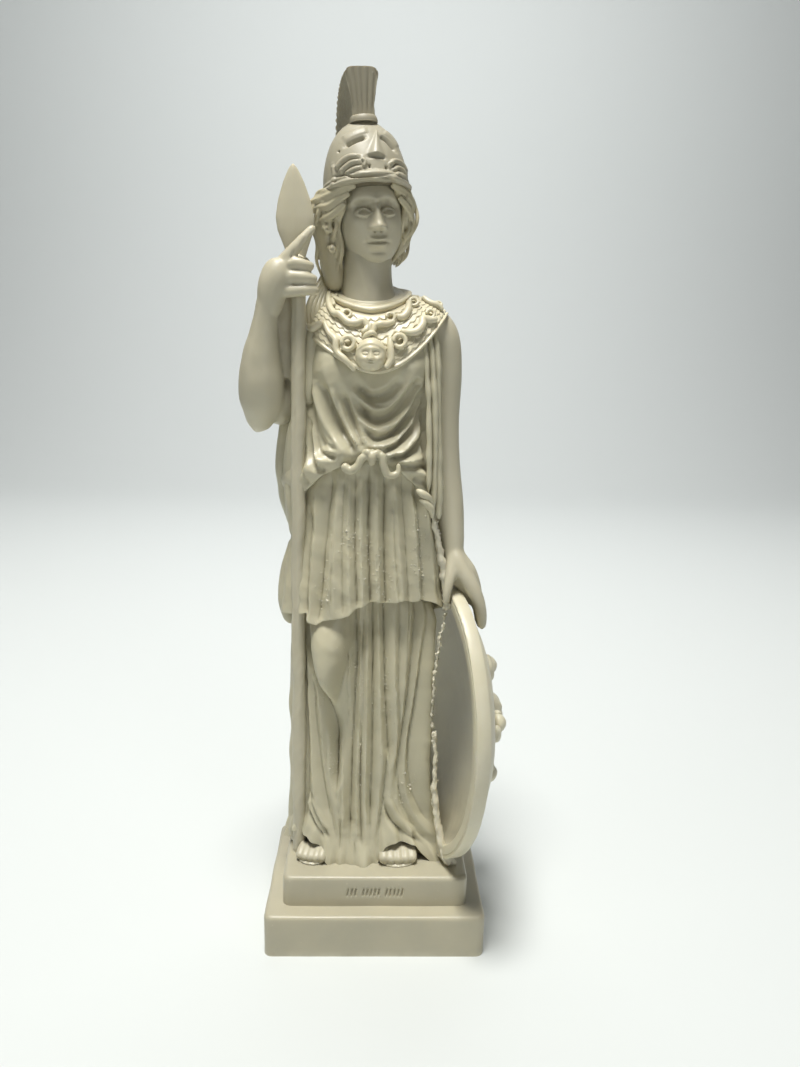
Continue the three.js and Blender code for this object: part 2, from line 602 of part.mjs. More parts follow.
// Dish coordinates: radius r at angle a round the dish, h outwards from the rim's inner plane
function onShield(r, a, h) {
  return point(h, -r * sin(a) * FLATTEN, r * cos(a))
    .applyAxisAngle(point(0, 1, 0), degToRad(1.2))
    .applyAxisAngle(point(0, 0, 1), degToRad(SHIELD_TURN))
    .add(SHIELD_PLACE);
}
const bulge = (share) => SHIELD_DOME * sqrt(max(0, 1 - share ** 2.2));
const domeAt = (r) => bulge(r / (SHIELD_R - SHIELD_BAND)) + SHIELD_RIM - 0.6;
const dishAt = (r) => bulge(r / (SHIELD_R - SHIELD_BAND * 0.8)) + SHIELD_RIM - SHIELD_WALL;
function shieldProfile() {
  const inner = SHIELD_R - SHIELD_BAND;
  const steps = [0, 0.45, 0.8, 1];
  const outside = steps.map((s) => new THREE.Vector2(inner * s, domeAt(inner * s)));
  const rim = [[0, SHIELD_RIM], [SHIELD_BAND - 1, SHIELD_RIM], [SHIELD_BAND, SHIELD_RIM - 0.8],
    [SHIELD_BAND, 0.7], [SHIELD_BAND - 0.8, 0], [SHIELD_BAND - 3.8, 0.2]]
    .map(([r, h]) => new THREE.Vector2(inner + r, h));
  const hollow = steps.slice(0, -1).reverse()
    .map((s) => new THREE.Vector2(inner * s, max(0.6, dishAt(inner * s))));
  return [...outside.slice(0, -1), ...rim, ...hollow].reverse();
}
function shieldForm(geometry, place) {
  return solid(movePoints(geometry, (p) => {
    const q = place(p);
    return new THREE.Vector3(q.x, q.y, q.z + PLINTH_TOP);
  }));
}
const dish = shieldForm(new THREE.LatheGeometry(shieldProfile(), 24), (p) => (
  onShield(Math.hypot(p.x, p.z), Math.atan2(p.x, p.z), p.y)));

// The boss and the scrolls reach only half way into the wall
const rooted = (height, share) => (share > 0 ? share * height : share * SHIELD_WALL * 0.5);
const boss = shieldForm(new THREE.SphereGeometry(1, 10, 6), (p) => (
  onShield(
    Math.hypot(p.x, p.y) * BOSS_RADIUS,
    Math.atan2(-p.x, p.y),
    domeAt(0) - 0.4 + rooted(BOSS_HEIGHT, p.z),
  )));
const RELIEF_LONG = 1.5;
const RELIEF_PROUD = 3;
const reliefs = Array.from({ length: RELIEF_COUNT }, (_, i) => {
  const a = (RELIEF_START * PI) / 180 + (i / RELIEF_COUNT) * 2 * PI;
  return shieldForm(new THREE.SphereGeometry(1, 6, 4), (p) => (
    onShield(
      RELIEF_RING + p.x * RELIEF_SIZE,
      a + (p.y * RELIEF_SIZE * RELIEF_LONG) / RELIEF_RING,
      domeAt(RELIEF_RING) - 0.4 + rooted(RELIEF_PROUD, p.z),
    )));
});

// A step of the plinth: a slab with rounded corners and a rounded upper edge
function step(width, depth, low, height) {
  const halfWidth = width / 2 - STEP_EDGE;
  const halfDepth = depth / 2 - STEP_EDGE;
  const corner = max(0.2, STEP_CORNER - STEP_EDGE);
  const shape = new THREE.Shape();
  shape.absarc(halfWidth - corner, halfDepth - corner, corner, 0, PI / 2);
  shape.absarc(-halfWidth + corner, halfDepth - corner, corner, PI / 2, PI);
  shape.absarc(-halfWidth + corner, -halfDepth + corner, corner, PI, 1.5 * PI);
  shape.absarc(halfWidth - corner, -halfDepth + corner, corner, 1.5 * PI, 2 * PI);
  const geometry = new THREE.ExtrudeGeometry(shape, {
    depth: height - STEP_EDGE,
    bevelSize: STEP_EDGE,
    bevelThickness: STEP_EDGE,
    bevelSegments: 2,
    curveSegments: 2,
  });
  return solid(geometry.translate(0, 0, low));
}

const lowerStep = step(PLINTH_WIDTH, PLINTH_DEPTH, 0, LOWER_STEP_HEIGHT);
const upperStep = step(
  PLINTH_WIDTH - 2 * LEDGE_SIDE,
  PLINTH_DEPTH - 2 * LEDGE_FRONT,
  LOWER_STEP_HEIGHT,
  UPPER_STEP_HEIGHT,
);
const ground = solid(
  new THREE.BoxGeometry(PLINTH_WIDTH * 2, PLINTH_DEPTH * 2, PLINTH_TOP).translate(0, 0, -PLINTH_TOP / 2),
);

// Short parallel strokes cut in a row, in groups of two or three
const STROKE_LEAN = 0.15;
function strokeAt(x) {
  const front = -(PLINTH_DEPTH / 2 - LEDGE_FRONT);
  return solid(new THREE.BoxGeometry(STROKE_WIDTH, STROKE_DEPTH * 2, STROKE_HEIGHT)
    .rotateY(STROKE_LEAN)
    .translate(x, front, LOWER_STEP_HEIGHT + UPPER_STEP_HEIGHT * 0.46));
}
const STROKE_GROUP = [-1.2, 0, 1.2];
const strokes = Array.from({ length: STROKE_GROUPS }, (_, i) => {
  const middle = (i / (STROKE_GROUPS - 1) - 0.5) * (STROKE_ROW_LENGTH - 3);
  return STROKE_GROUP.slice(i % 2).map((shift) => strokeAt(middle + shift));
}).flat();

const join = (solids) => solids.flat(2).reduce((whole, next) => whole.add(next));
const figure = join([
  dress, overfold, blouse, sideCloth, feet, neck, skull, nose, mouth, eyes, locks, nape,
  helmet, scrolls, noseGuard, crest, crestRing, aegis, snakes, rings, mask, belt,
  shaft, blade, rightArm, rightHand, flash, leftArm, leftHand,
].flat());
const casting = join([lowerStep, upperStep, figure, dish, boss, reliefs])
  .subtract(join([ground, slots, strokes]));

function geometryOf(whole) {
  const mesh = whole.getMesh();
  const geometry = new THREE.BufferGeometry();
  geometry.setAttribute('position', new THREE.BufferAttribute(mesh.vertProperties, mesh.numProp));
  geometry.setIndex(new THREE.BufferAttribute(mesh.triVerts, 1));
  return geometry;
}

const resin = new THREE.MeshStandardMaterial({ color: 0xc9c2a6, roughness: 0.55, metalness: 0 });
const statuette = new THREE.Mesh(geometryOf(casting), resin);
statuette.name = 'athena_statuette';

const model = new THREE.Group();
model.add(statuette);
export default model;
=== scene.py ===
import math
import bmesh
import bpy
import numpy as np
from mathutils import Matrix, Vector
from mathutils.bvhtree import BVHTree


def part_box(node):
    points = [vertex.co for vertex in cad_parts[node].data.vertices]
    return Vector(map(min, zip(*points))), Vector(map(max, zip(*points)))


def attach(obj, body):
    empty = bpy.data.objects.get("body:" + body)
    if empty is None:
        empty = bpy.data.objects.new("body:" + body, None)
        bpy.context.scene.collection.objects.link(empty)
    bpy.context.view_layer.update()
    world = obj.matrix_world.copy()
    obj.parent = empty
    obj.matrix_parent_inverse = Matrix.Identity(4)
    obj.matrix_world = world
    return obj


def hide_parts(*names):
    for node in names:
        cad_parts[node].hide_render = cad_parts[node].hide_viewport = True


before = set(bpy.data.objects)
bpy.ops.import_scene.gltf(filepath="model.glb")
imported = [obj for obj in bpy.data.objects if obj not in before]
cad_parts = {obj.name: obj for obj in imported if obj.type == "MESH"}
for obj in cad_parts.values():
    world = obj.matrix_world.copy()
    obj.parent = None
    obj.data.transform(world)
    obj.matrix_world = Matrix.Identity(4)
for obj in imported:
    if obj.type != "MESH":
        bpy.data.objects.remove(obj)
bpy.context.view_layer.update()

# Camera. It stands about 25 cm in front of the statuette and 18 cm up, and looks a little down.
# Its place and tilt were worked out from the corners of the plinth.
STATUETTE = "athena_statuette"
CARVED_HEIGHT = 259.07
lowest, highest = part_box(STATUETTE)
MM = (highest.z - lowest.z) / CARVED_HEIGHT
IMAGE_HEIGHT = 1067
FOCAL_PIXELS = 830
CAMERA_PLACE = Vector((-2.52, -252.48, 178.66))
PITCH = math.radians(11.330)
YAW = math.radians(1.891)
ROLL = math.radians(1.365)

camera = bpy.data.objects.new("camera", bpy.data.cameras.new("camera"))
bpy.context.scene.collection.objects.link(camera)
bpy.context.scene.camera = camera
camera.data.sensor_width = 36
camera.data.lens = FOCAL_PIXELS / IMAGE_HEIGHT * camera.data.sensor_width
camera.data.clip_start = 0.01
ahead = Vector((
    math.sin(YAW) * math.cos(PITCH),
    math.cos(YAW) * math.cos(PITCH),
    -math.sin(PITCH),
))
level = ahead.cross(Vector((0, 0, 1))).normalized()
above = level.cross(ahead)
across = level * math.cos(ROLL) + above * math.sin(ROLL)
up = above * math.cos(ROLL) - level * math.sin(ROLL)
turn = Matrix((across, up, -ahead)).transposed().to_4x4()
camera.matrix_world = Matrix.Translation(CAMERA_PLACE * MM) @ turn

# Plinth. Two solid steps of cast resin under the figure, with soft worn edges and a row of short
# cut strokes on the front of the upper one. Each is a bevelled box, cut into a fine grid by
# planes so that its faces can carry the slight waves of a hand-finished mould.
PLINTH_WIDTH = 68
PLINTH_DEPTH = 53.5
LOWER_STEP = 13.4
PLINTH_TOP = LOWER_STEP + 9.8
LEDGE_SIDE = 5.3
LEDGE_FRONT = 5.7
STEP_CORNER = 2.6
STEP_EDGE = 1.3
GRID = 1.6
STROKE_GRID = 0.22
STROKE_Z = LOWER_STEP + 4.6
STROKE_HALF = 1.4
STROKE_LEAN = 0.2
STROKE_CUT = (0.46, 0.65)
STROKE_GROUPS = [-7.25, -3.6, 0, 3.6, 7.25]


def smooth(x, low, high):
    t = np.clip((x - low) / (high - low), 0, 1)
    return t * t * (3 - 2 * t)


def mesh_from(bm):
    mesh = bpy.data.meshes.new("form")
    bm.to_mesh(mesh)
    bm.free()
    return mesh


def numbers_of(items, key, width=3, kind=float):
    out = np.empty(len(items) * width, kind)
    items.foreach_get(key, out)
    return out.reshape(-1, width)


def points_of(mesh):
    return numbers_of(mesh.vertices, "co")


def set_points(mesh, co):
    mesh.vertices.foreach_set("co", np.ascontiguousarray(co, dtype=np.float32).ravel())
    mesh.update()
    return mesh


def softened(mesh, rounds):
    """The mesh's points after some rounds of moving each towards the middle of its neighbours."""
    co = points_of(mesh)
    a, b = numbers_of(mesh.edges, "vertices", 2, np.int32).T
    total = len(co)
    count = np.maximum(np.bincount(a, minlength=total) + np.bincount(b, minlength=total), 1)
    for _ in range(rounds):
        middle = np.stack([
            np.bincount(a, co[b, k], total) + np.bincount(b, co[a, k], total) for k in range(3)
        ], 1)
        co = co + 0.5 * (middle / count[:, None] - co)
    return co


def pushed(mesh, amount):
    """Moves each point out along its normal by its own amount."""
    normals = numbers_of(mesh.vertices, "normal")
    return set_points(mesh, points_of(mesh) + normals * amount[:, None])


def wobble(co, size, seed):
    """A gentle unevenness from -1 to 1 with waves about size long."""
    draw = np.random.default_rng(seed)
    total = np.zeros(len(co))
    for _ in range(7):
        way = draw.normal(size=3)
        way *= 2 * math.pi / size * draw.uniform(0.7, 1.4) / np.linalg.norm(way)
        total += np.sin(co @ way + draw.uniform(0, 6.3))
    return total / 4


def smooth_path(points, count):
    """count points on a smooth curve through the given ones."""
    knots = np.array(points, float)
    padded = np.vstack([2 * knots[0] - knots[1], knots, 2 * knots[-1] - knots[-2]])
    place = np.linspace(0, len(knots) - 1, count)
    low = np.minimum(place.astype(int), len(knots) - 2)
    u = (place - low)[:, None]
    a, b, c, d = (padded[low + k] for k in range(4))
    cubic = (3 * b - a - 3 * c + d) * u ** 3
    return 0.5 * (2 * b + (c - a) * u + (2 * a - 5 * b + 4 * c - d) * u ** 2 + cubic)


def valley(q):
    return (1 - q) ** 1.5


def carved(x, z, lines, profile=valley):
    """How deep lines cut at (x, z). Each is (width, depth), then its points. The deepest wins."""
    cut = np.zeros(len(x))
    for (width, depth), *line in lines:
        path = smooth_path(line, 9 * len(line))
        low = path.min(0) - width
        high = path.max(0) + width
        near = np.flatnonzero((x > low[0]) & (x < high[0]) & (z > low[1]) & (z < high[1]))
        spots = np.stack([x[near], z[near]], 1)
        best = np.full(len(near), 1e3)
        share = np.zeros(len(near))
        for i, (start, run) in enumerate(zip(path[:-1], np.diff(path, axis=0))):
            t = np.clip(((spots - start) @ run) / (run @ run), 0, 1)
            away = np.hypot(*(spots - start - t[:, None] * run).T)
            closer = away < best
            best[closer] = away[closer]
            share[closer] = (i + t[closer]) / (len(path) - 1)
        fade = np.clip(np.minimum(share, 1 - share) / 0.14, 0.2, 1)
        cut[near] = np.maximum(cut[near], depth * fade * profile(np.clip(best / width, 0, 1)))
    return cut


class Flow:
    """A socket of a material, so that sums on masks are written as sums."""

    def __init__(self, tree, socket):
        self.tree = tree
        self.socket = socket

    def made(self, kind, settings, inputs, output=0):
        """One node. Its settings are set first, then the values or links of its sockets."""
        node = self.tree.nodes.new(kind)
        for key, value in settings.items():
            setattr(node, key, value)
        for key, value in inputs.items():
            if isinstance(value, Flow):
                self.tree.links.new(value.socket, node.inputs[key])
            else:
                node.inputs[key].default_value = value
        return Flow(self.tree, node.outputs[output])

    def sum(self, operation, a, b, clamp=False):
        settings = {"operation": operation, "use_clamp": clamp}
        return self.made("ShaderNodeMath", settings, {0: a, 1: b})

    def __add__(self, other):
        return self.sum("ADD", self, other)

    def __sub__(self, other):
        return self.sum("SUBTRACT", self, other)

    def __rsub__(self, other):
        return self.sum("SUBTRACT", other, self)

    def __mul__(self, other):
        return self.sum("MULTIPLY", self, other)

    __radd__ = __add__
    __rmul__ = __mul__

    def above(self, low, high):
        """0 under low, 1 over high, straight between them."""
        return self.sum("MULTIPLY", self - low, 1 / (high - low), clamp=True)

    def noise(self, scale, detail):
        values = {"Vector": self, "Scale": scale, "Detail": detail, "Roughness": 0.55}
        return self.made("ShaderNodeTexNoise", {}, values)

    def blend(self, a, b):
        """Colour a where this mask is 0, colour b where it is 1."""
        return self.made("ShaderNodeMix", {"data_type": "RGBA"}, {0: self, 6: a, 7: b}, 2)


def resin(name, base, warm, shade, light, rough=0.38, crumbs_and_glints=0.5):
    """Ivory casting resin: clouded colour, painted shade in hollows, painted highlight on ridges,
    dust-fine grain.
    """
    material = bpy.data.materials.new(name)
    material.use_nodes = True
    tree = material.node_tree
    spot = Flow(tree, tree.nodes.new("ShaderNodeTexCoord").outputs["Object"])
    hollow = spot.made("ShaderNodeAttribute", {"attribute_name": "hollow"}, {}, 2)
    cloud = spot.noise(55, 4.0)
    patch = spot.noise(160, 5.0)
    grain = spot.noise(1500, 3.0)
    deep = (hollow + (patch - 0.5) * 0.25).above(0.1, 0.95)
    high = (0.0 - hollow).above(0.1, 0.9)
    dot = 1 - spot.made("ShaderNodeTexVoronoi", {}, {"Vector": spot, "Scale": 420.0}).above(0.0, 0.16)
    colour = cloud.above(0.38, 0.66).blend((*base, 1), (*warm, 1))
    # Painted shade: concave places are darkened towards the shade colour, partly the patina in the
    # recesses and partly painted shade.
    colour = (deep * 0.85).blend(colour, (*shade, 1))
    # Painted highlight: ridges are lightened towards the light colour.
    colour = (high * 0.5 * patch.above(0.3, 0.7)).blend(colour, (*light, 1))
    # Raised crumbs tinted towards the light colour: partly their own pale colour and partly painted
    # glint.
    colour = (dot * patch.above(0.52, 0.62) * crumbs_and_glints).blend(colour, (*light, 1))
    gloss = rough + (grain - 0.5) * 0.16 + deep * 0.12 + (patch - 0.5) * 0.14
    height = grain * 0.22 + patch * 0.5 + dot * patch.above(0.5, 0.6) * crumbs_and_glints
    bump = spot.made("ShaderNodeBump", {}, {"Height": height, "Strength": 0.35, "Distance": 0.00022})
    sockets = tree.nodes["Principled BSDF"].inputs
    for socket, flow in (("Base Color", colour), ("Roughness", gloss), ("Normal", bump)):
        tree.links.new(flow.socket, sockets[socket])
    sockets["Subsurface Weight"].default_value = 0.12
    sockets["Subsurface Radius"].default_value = (1.0, 0.75, 0.42)
    sockets["Subsurface Scale"].default_value = 0.0022
    sockets["IOR"].default_value = 1.5
    return material


def cast(name, mesh, material, lift=PLINTH_TOP, reach=10, depth=0.5, crease=50):
    """A finished part of the casting, from millimetres above the plinth to metres."""
    mesh.name = name
    bm = bmesh.new()
    bm.from_mesh(mesh)
    bmesh.ops.recalc_face_normals(bm, faces=bm.faces)
    bm.to_mesh(mesh)
    bm.free()
    # hollow: how far each point lies below its softened neighbours, over depth. The resin paints
    # shade where it is high and highlight where it is low.
    under = softened(mesh, reach) - points_of(mesh)
    hollow = np.clip((under * numbers_of(mesh.vertices, "normal")).sum(1) / depth, -1, 1)
    mesh.attributes.new("hollow", "FLOAT", "POINT").data.foreach_set("value", hollow)
    set_points(mesh, (points_of(mesh) + (0, 0, lift)) * MM)
    mesh.shade_smooth()
    mesh.set_sharp_from_angle(angle=math.radians(crease))
    mesh.materials.append(material)
    piece = bpy.data.objects.new(name, mesh)
    bpy.context.scene.collection.objects.link(piece)
    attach(piece, "root")
    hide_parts(STATUETTE)


def slab(width, depth, low, high, fine=()):
    """A box with rounded upright corners and a rounded top edge, cut into a grid."""
    bm = bmesh.new()
    bmesh.ops.create_cube(bm, size=1)
    bmesh.ops.scale(bm, vec=(width, depth, high - low), verts=bm.verts)
    bmesh.ops.translate(bm, vec=(0, 0, (low + high) / 2), verts=bm.verts)
    uprights = [e for e in bm.edges if abs(e.verts[0].co.z - e.verts[1].co.z) > 1]
    bmesh.ops.bevel(bm, geom=uprights, affect="EDGES", offset=STEP_CORNER, segments=6,
                    profile=0.5, material=-1)
    rim = [e for e in bm.edges if min(v.co.z for v in e.verts) > high - 0.01]
    bmesh.ops.bevel(bm, geom=rim, affect="EDGES", offset=STEP_EDGE, segments=5,
                    profile=0.5, material=-1)
    sides = ((-width / 2, width / 2), (-depth / 2, depth / 2), (low, high - STEP_EDGE))
    cuts = [(axis, place) for axis, (start, end) in enumerate(sides)
            for place in np.arange(start + GRID, end, GRID)]
    for axis, place in [*cuts, *fine]:
        way = Vector(np.eye(3)[axis])
        bmesh.ops.bisect_plane(bm, geom=bm.verts[:] + bm.edges[:] + bm.faces[:],
                               dist=1e-5, plane_co=way * place, plane_no=way)
    return mesh_from(bm)


strokes = []
for i, middle in enumerate(STROKE_GROUPS):
    for shift in (-1.2, 0, 1.2)[i % 2:]:
        ends = [(middle + shift + way * STROKE_LEAN, STROKE_Z + way * STROKE_HALF) for way in (-1, 1)]
        strokes.append([STROKE_CUT, *ends])
fine_cuts = [(0, x) for x in np.arange(-9.4, 9.4, STROKE_GRID)]
fine_cuts += [(2, z) for z in np.arange(STROKE_Z - 1.8, STROKE_Z + 1.8, STROKE_GRID)]
plinth_resin = resin("plinth_resin", (0.435, 0.405, 0.30), (0.48, 0.443, 0.322),
                     (0.20, 0.18, 0.125), (0.72, 0.68, 0.53), crumbs_and_glints=0.35)
lower_step = slab(PLINTH_WIDTH, PLINTH_DEPTH, 0, LOWER_STEP)
co = points_of(lower_step)
pushed(lower_step, 0.13 * wobble(co, 19, 3) * smooth(co[:, 2], 0.2, 3))
cast("lower_step", lower_step, plinth_resin, lift=0, reach=4, depth=0.4, crease=40)
upper_depth = PLINTH_DEPTH - 2 * LEDGE_FRONT
upper_step = slab(PLINTH_WIDTH - 2 * LEDGE_SIDE, upper_depth, LOWER_STEP - 1, PLINTH_TOP, fine_cuts)
co = points_of(upper_step)
front = smooth(-co[:, 1], upper_depth / 2 - 0.6, upper_depth / 2 - 0.2)
set_points(upper_step, co + np.outer(carved(co[:, 0], co[:, 2], strokes) * front, (0, 1, 0)))
pushed(upper_step, 0.12 * wobble(co, 17, 4))
cast("upper_step", upper_step, plinth_resin, lift=0, reach=5, depth=0.95, crease=40)


# Lower dress. Heavy wool in straight folds from under the overfold to the plinth, pushed out by
# the bent knee and hollow below it. A closed tube of resin, its folds pressed in line by line,
# with a hem that lifts over both feet.
def table(text):
    """Rows parted by semicolons, spots by commas and numbers by spaces."""
    return [[[float(number) for number in spot.split()] for spot in row.split(",")]
            for row in text.split(";")]


SKIRT = table("""
-1 -3.6 26 -13.4 17, 5 -4.3 24.2 -12.7 16.5, 16 -5 22.4 -12.2 15.3, 40 -5.2 22 -12.2 14.6,
66 -5.2 22.3 -12.2 15, 80 -4.9 22.4 -10.4 15.2, 92 -4.6 22.4 -9.6 15.5""")[0]
SKIRT_HEM = table("""
-31 3, -27 7.4, -25 7.8, -22 7.2, -18.5 5.2, -16 1.6, -14 -0.8, 0 -0.8, 1.4 2.2, 3.2 5.6, 7.5 6.8,
11.8 5.6, 13.2 2.2, 14.4 -0.8, 26 -0.8""")[0]
SKIRT_FRONT = table("""
2.6 1.8, -24.4 76, -23.4 50, -22.8 24, -24.4 8;
3.4 3.2, -22.3 80, -21.2 68, -18.4 60, -15.2 46, -13.6 32, -13.2 22;
3 2.2, -21.4 64, -20.6 46.4, -18.2 28, -14.3 10; 2.6 1.2, -17.2 48, -16.8 32, -15.4 18, -12 5;
3.2 2.7, -8.4 94, -7 70.9, -7.6 50, -8.2 34.9, -8.4 18, -8.6 2;
2.2 1.9, -5.4 94, -4.9 54.8, -5.2 28.1, -4.3 1; 2.8 2.6, -2.4 95, -1.6 60, -1.5 34, -1.9 6;
2.9 2.8, 0.8 96, 2.1 66, 3 50, 4.6 30; 2 1.5, 3.6 44, 2.8 26, 1.4 12, 0.6 1;
2.4 1.4, 6 95, 6 62, 7 44, 5.8 30; 2.8 2.3, 11.4 95, 9.8 66, 8 46, 6 22.7;
2.6 2.2, 14.4 94, 11.6 60, 9.8 38, 11.4 22, 16.4 7; 2.2 1.8, 16.4 94, 15.5 50, 15.4 28, 18.6 8;
1.8 1.4, 6.6 34, 7.8 22, 12.2 10, 18.4 1; 1.6 1.3, -22.5 24.5, -20.3 17, -14.5 6.5;
1.9 1.8, 1.3 26, 4.1 15.6, 8.6 9.8, 14.3 5; 1.5 1.1, -11.2 28, -11.6 14, -11.4 1;
1.3 0.9, -6.6 24, -6.7 10, -6.7 1; 1.4 1, -23.4 18, -19.5 11.8, -16.2 7;
1.2 0.8, 14 30, 15.6 16, 20.2 3; 1.1 0.8, -10.4 92, -9.4 62, -10.4 40;
1 0.6, 8.6 92, 7.9 64, 7.2 50""")
SKIRT_RIDGES = table("""
1.6 0.9, -22 20, -19 15.2, -16 9.6; 1.5 0.8, 3 22, 6.6 14.2, 12.4 8.6;
1.3 0.7, -13.2 44, -11.8 28, -10.2 10; 1.3 0.7, 12.9 46, 12.6 28, 15.4 13""")
SKIRT_BACK = table("""
-74 -72 1.8, -88 -90 1.4, -104 -103 2.2, -122 -120 1.6, -141 -140 2.3, -160 -158 1.6,
-178 -178 2.2, 152 154 1.8, 129 130 2.3, 108 108 1.6, 88 90 1.9, 70 70 1.4""")[0]
SKIRT_TOP = 90
KNEE_X = -15.2
KNEE_HALF = 7.0
KNEE_PROUD = 6.6
FOLD_REACH = 5.2


def bell(x, middle, width):
    return np.exp(-(((x - middle) / width) ** 2))


def mixed(a, b, t):
    return a + (b - a) * t


def roll(q):
    return np.sqrt(np.clip(1 - q * q, 0, 1))


def at(sections, z):
    """The columns of a table at heights z, on smooth curves through its rows."""
    rows = np.array(sections)
    knots = rows[:, 0]
    slopes = np.gradient(rows[:, 1:], knots, axis=0)
    i = np.clip(np.searchsorted(knots, z) - 1, 0, len(knots) - 2)
    gap = (knots[i + 1] - knots[i])[:, None]
    u = np.clip((z - knots[i])[:, None] / gap, 0, 1)
    low, high = rows[i, 1:], rows[i + 1, 1:]
    eased = low * (2 * u ** 3 - 3 * u ** 2 + 1) + high * (3 * u ** 2 - 2 * u ** 3)
    bent = slopes[i] * (u ** 3 - 2 * u ** 2 + u) + slopes[i + 1] * (u ** 3 - u ** 2)
    return (eased + bent * gap).T


def outline(sections, z, angle, proud=0.0):
    """Points on rounded body sections: height, middle, half width, front and back."""
    middle, half, front, back = at(sections, z)
    s = np.sin(angle)
    c = np.cos(angle)
    power = 2 / 2.35
    x = middle + np.sign(s) * np.abs(s) ** power * half + s * proud
    y = (front + back) / 2 - np.sign(c) * np.abs(c) ** power * (back - front) / 2 - c * proud
    return np.stack([x, y, z], 1)


def tube(around, along, place):
    """A closed tube of rings. place(angle, t) gives its points, from t = 0 low to 1 high."""
    bm = bmesh.new()
    bmesh.ops.create_cone(bm, cap_ends=True, segments=around, radius1=1, radius2=1, depth=1)
    uprights = [e for e in bm.edges if abs(e.verts[0].co.z - e.verts[1].co.z) > 0.5]
    bmesh.ops.subdivide_edges(bm, edges=uprights, cuts=along - 1, use_grid_fill=True)
    bmesh.ops.poke(bm, faces=[f for f in bm.faces if len(f.verts) > 4])
    mesh = mesh_from(bm)
    co = points_of(mesh)
    t = np.clip(co[:, 2] + 0.5, 0, 1)
    made = place(np.arctan2(co[:, 0], -co[:, 1]), t)
    middle = np.hypot(co[:, 0], co[:, 1]) < 0.5
    for end in (0, 1):
        ring = (np.abs(t - end) < 1e-4) & ~middle
        made[middle & (np.abs(t - end) < 0.5)] = made[ring].mean(0)
    return set_points(mesh, made)


def hemmed(t, edge):
    """The height share above a turned-in hem, and how far round the hem's edge a point is."""
    return np.clip((t - edge) / (1 - edge), 0, 1), np.clip(1 - t / edge, 0, 1)


def hanging(angle, t, sections, top, hem, level, back, facing, edge):
    """Angle, height, turn of the hem, its line, the flat cloth, and 1 in front, 0 behind."""
    angle = angle - 0.25 * np.sin(angle)
    height, turned = hemmed(t, edge)
    rim = outline(sections, np.full(len(angle), level), angle)[:, 0]
    behind = back[0] + back[1] * np.cos(angle * back[2])
    low = mixed(behind, np.interp(rim, *zip(*hem)), smooth(np.cos(angle), -0.05, facing))
    flat = outline(sections, mixed(low, top, height), angle)
    return angle, height, turned, low, flat, smooth(np.cos(angle), 0.02, 0.25)


def hung(sections, flat, angle, lift, raised):
    """The cloth lifted off its flat form, its turned hem raised."""
    made = outline(sections, flat[:, 2], angle, lift)
    made[:, 2] += raised
    return made


def pleats(angle, t, folds, radius):
    """How deep the folds, angle at the top, angle at the hem and depth, cut round the back."""
    cut = np.zeros(len(angle))
    for top, hem, deep in folds:
        away = np.degrees(angle) - mixed(hem, top, t)
        away = np.abs((away + 180) % 360 - 180) * math.pi / 180 * radius
        cut = np.maximum(cut, deep * valley(np.clip(away / FOLD_REACH, 0, 1)))
    return cut


def skirt_place(angle, t):
    angle, height, turned, low, flat, front = hanging(
        angle, t, SKIRT, SKIRT_TOP, SKIRT_HEM, 3.0, (-0.8, 0, 0), 0.15, 0.022)
    x, _, z = flat.T
    across_knee = (x - KNEE_X) / (KNEE_HALF * np.clip((z - 50) / 25, 0.02, 1) ** 0.7)
    knee = KNEE_PROUD * np.clip(1 - across_knee ** 2, 0, 1) ** 1.15
    knee *= smooth(z, 50, 64) * (1 - smooth(z, 71, 92))
    hollow = -4.8 * bell(x, -11.8 + 0.05 * (z - 50), 4.6) * bell(z, 45, 13)
    standing = 2.0 * bell(x, 7.2, 5.6) * smooth(z, 10, 60) * (1 - smooth(z, 82, 90))
    corner = 3.6 * bell(angle, 1.0, 0.26) * (1 - smooth(z, 78, 88)) * (1 + 0.45 * bell(z, 0, 14))
    near_hem = 1 - smooth(z - low, 0, 9)
    ripple = 0.7 * np.cos(angle * 19 + 0.6) + 0.5 * np.cos(angle * 31)
    ripple += 0.4 * np.cos(angle * 53) * (low < -0.5)
    cut = carved(x, z, SKIRT_FRONT) * front * (1 - 0.55 * near_hem)
    cut += pleats(angle, t, SKIRT_BACK, 20) * (1 - 0.9 * front)
    lift = np.maximum(0, np.cos(angle)) * (knee + hollow + standing) + near_hem * (1.2 + ripple)
    lift += corner - cut + carved(x, z, SKIRT_RIDGES, roll) * front
    lift += 0.15 * wobble(flat, 9, 11) + 0.08 * wobble(flat, 3.5, 12) - 2.6 * turned
    return hung(SKIRT, flat, angle, lift, 1.3 * turned)


cloth_resin = resin("cloth_resin", (0.50, 0.468, 0.335), (0.54, 0.50, 0.352),
                    (0.19, 0.165, 0.10), (0.68, 0.645, 0.49))
skirt = tube(290, 160, skirt_place)
cast("lower_dress", skirt, cloth_resin, reach=12, depth=0.8)

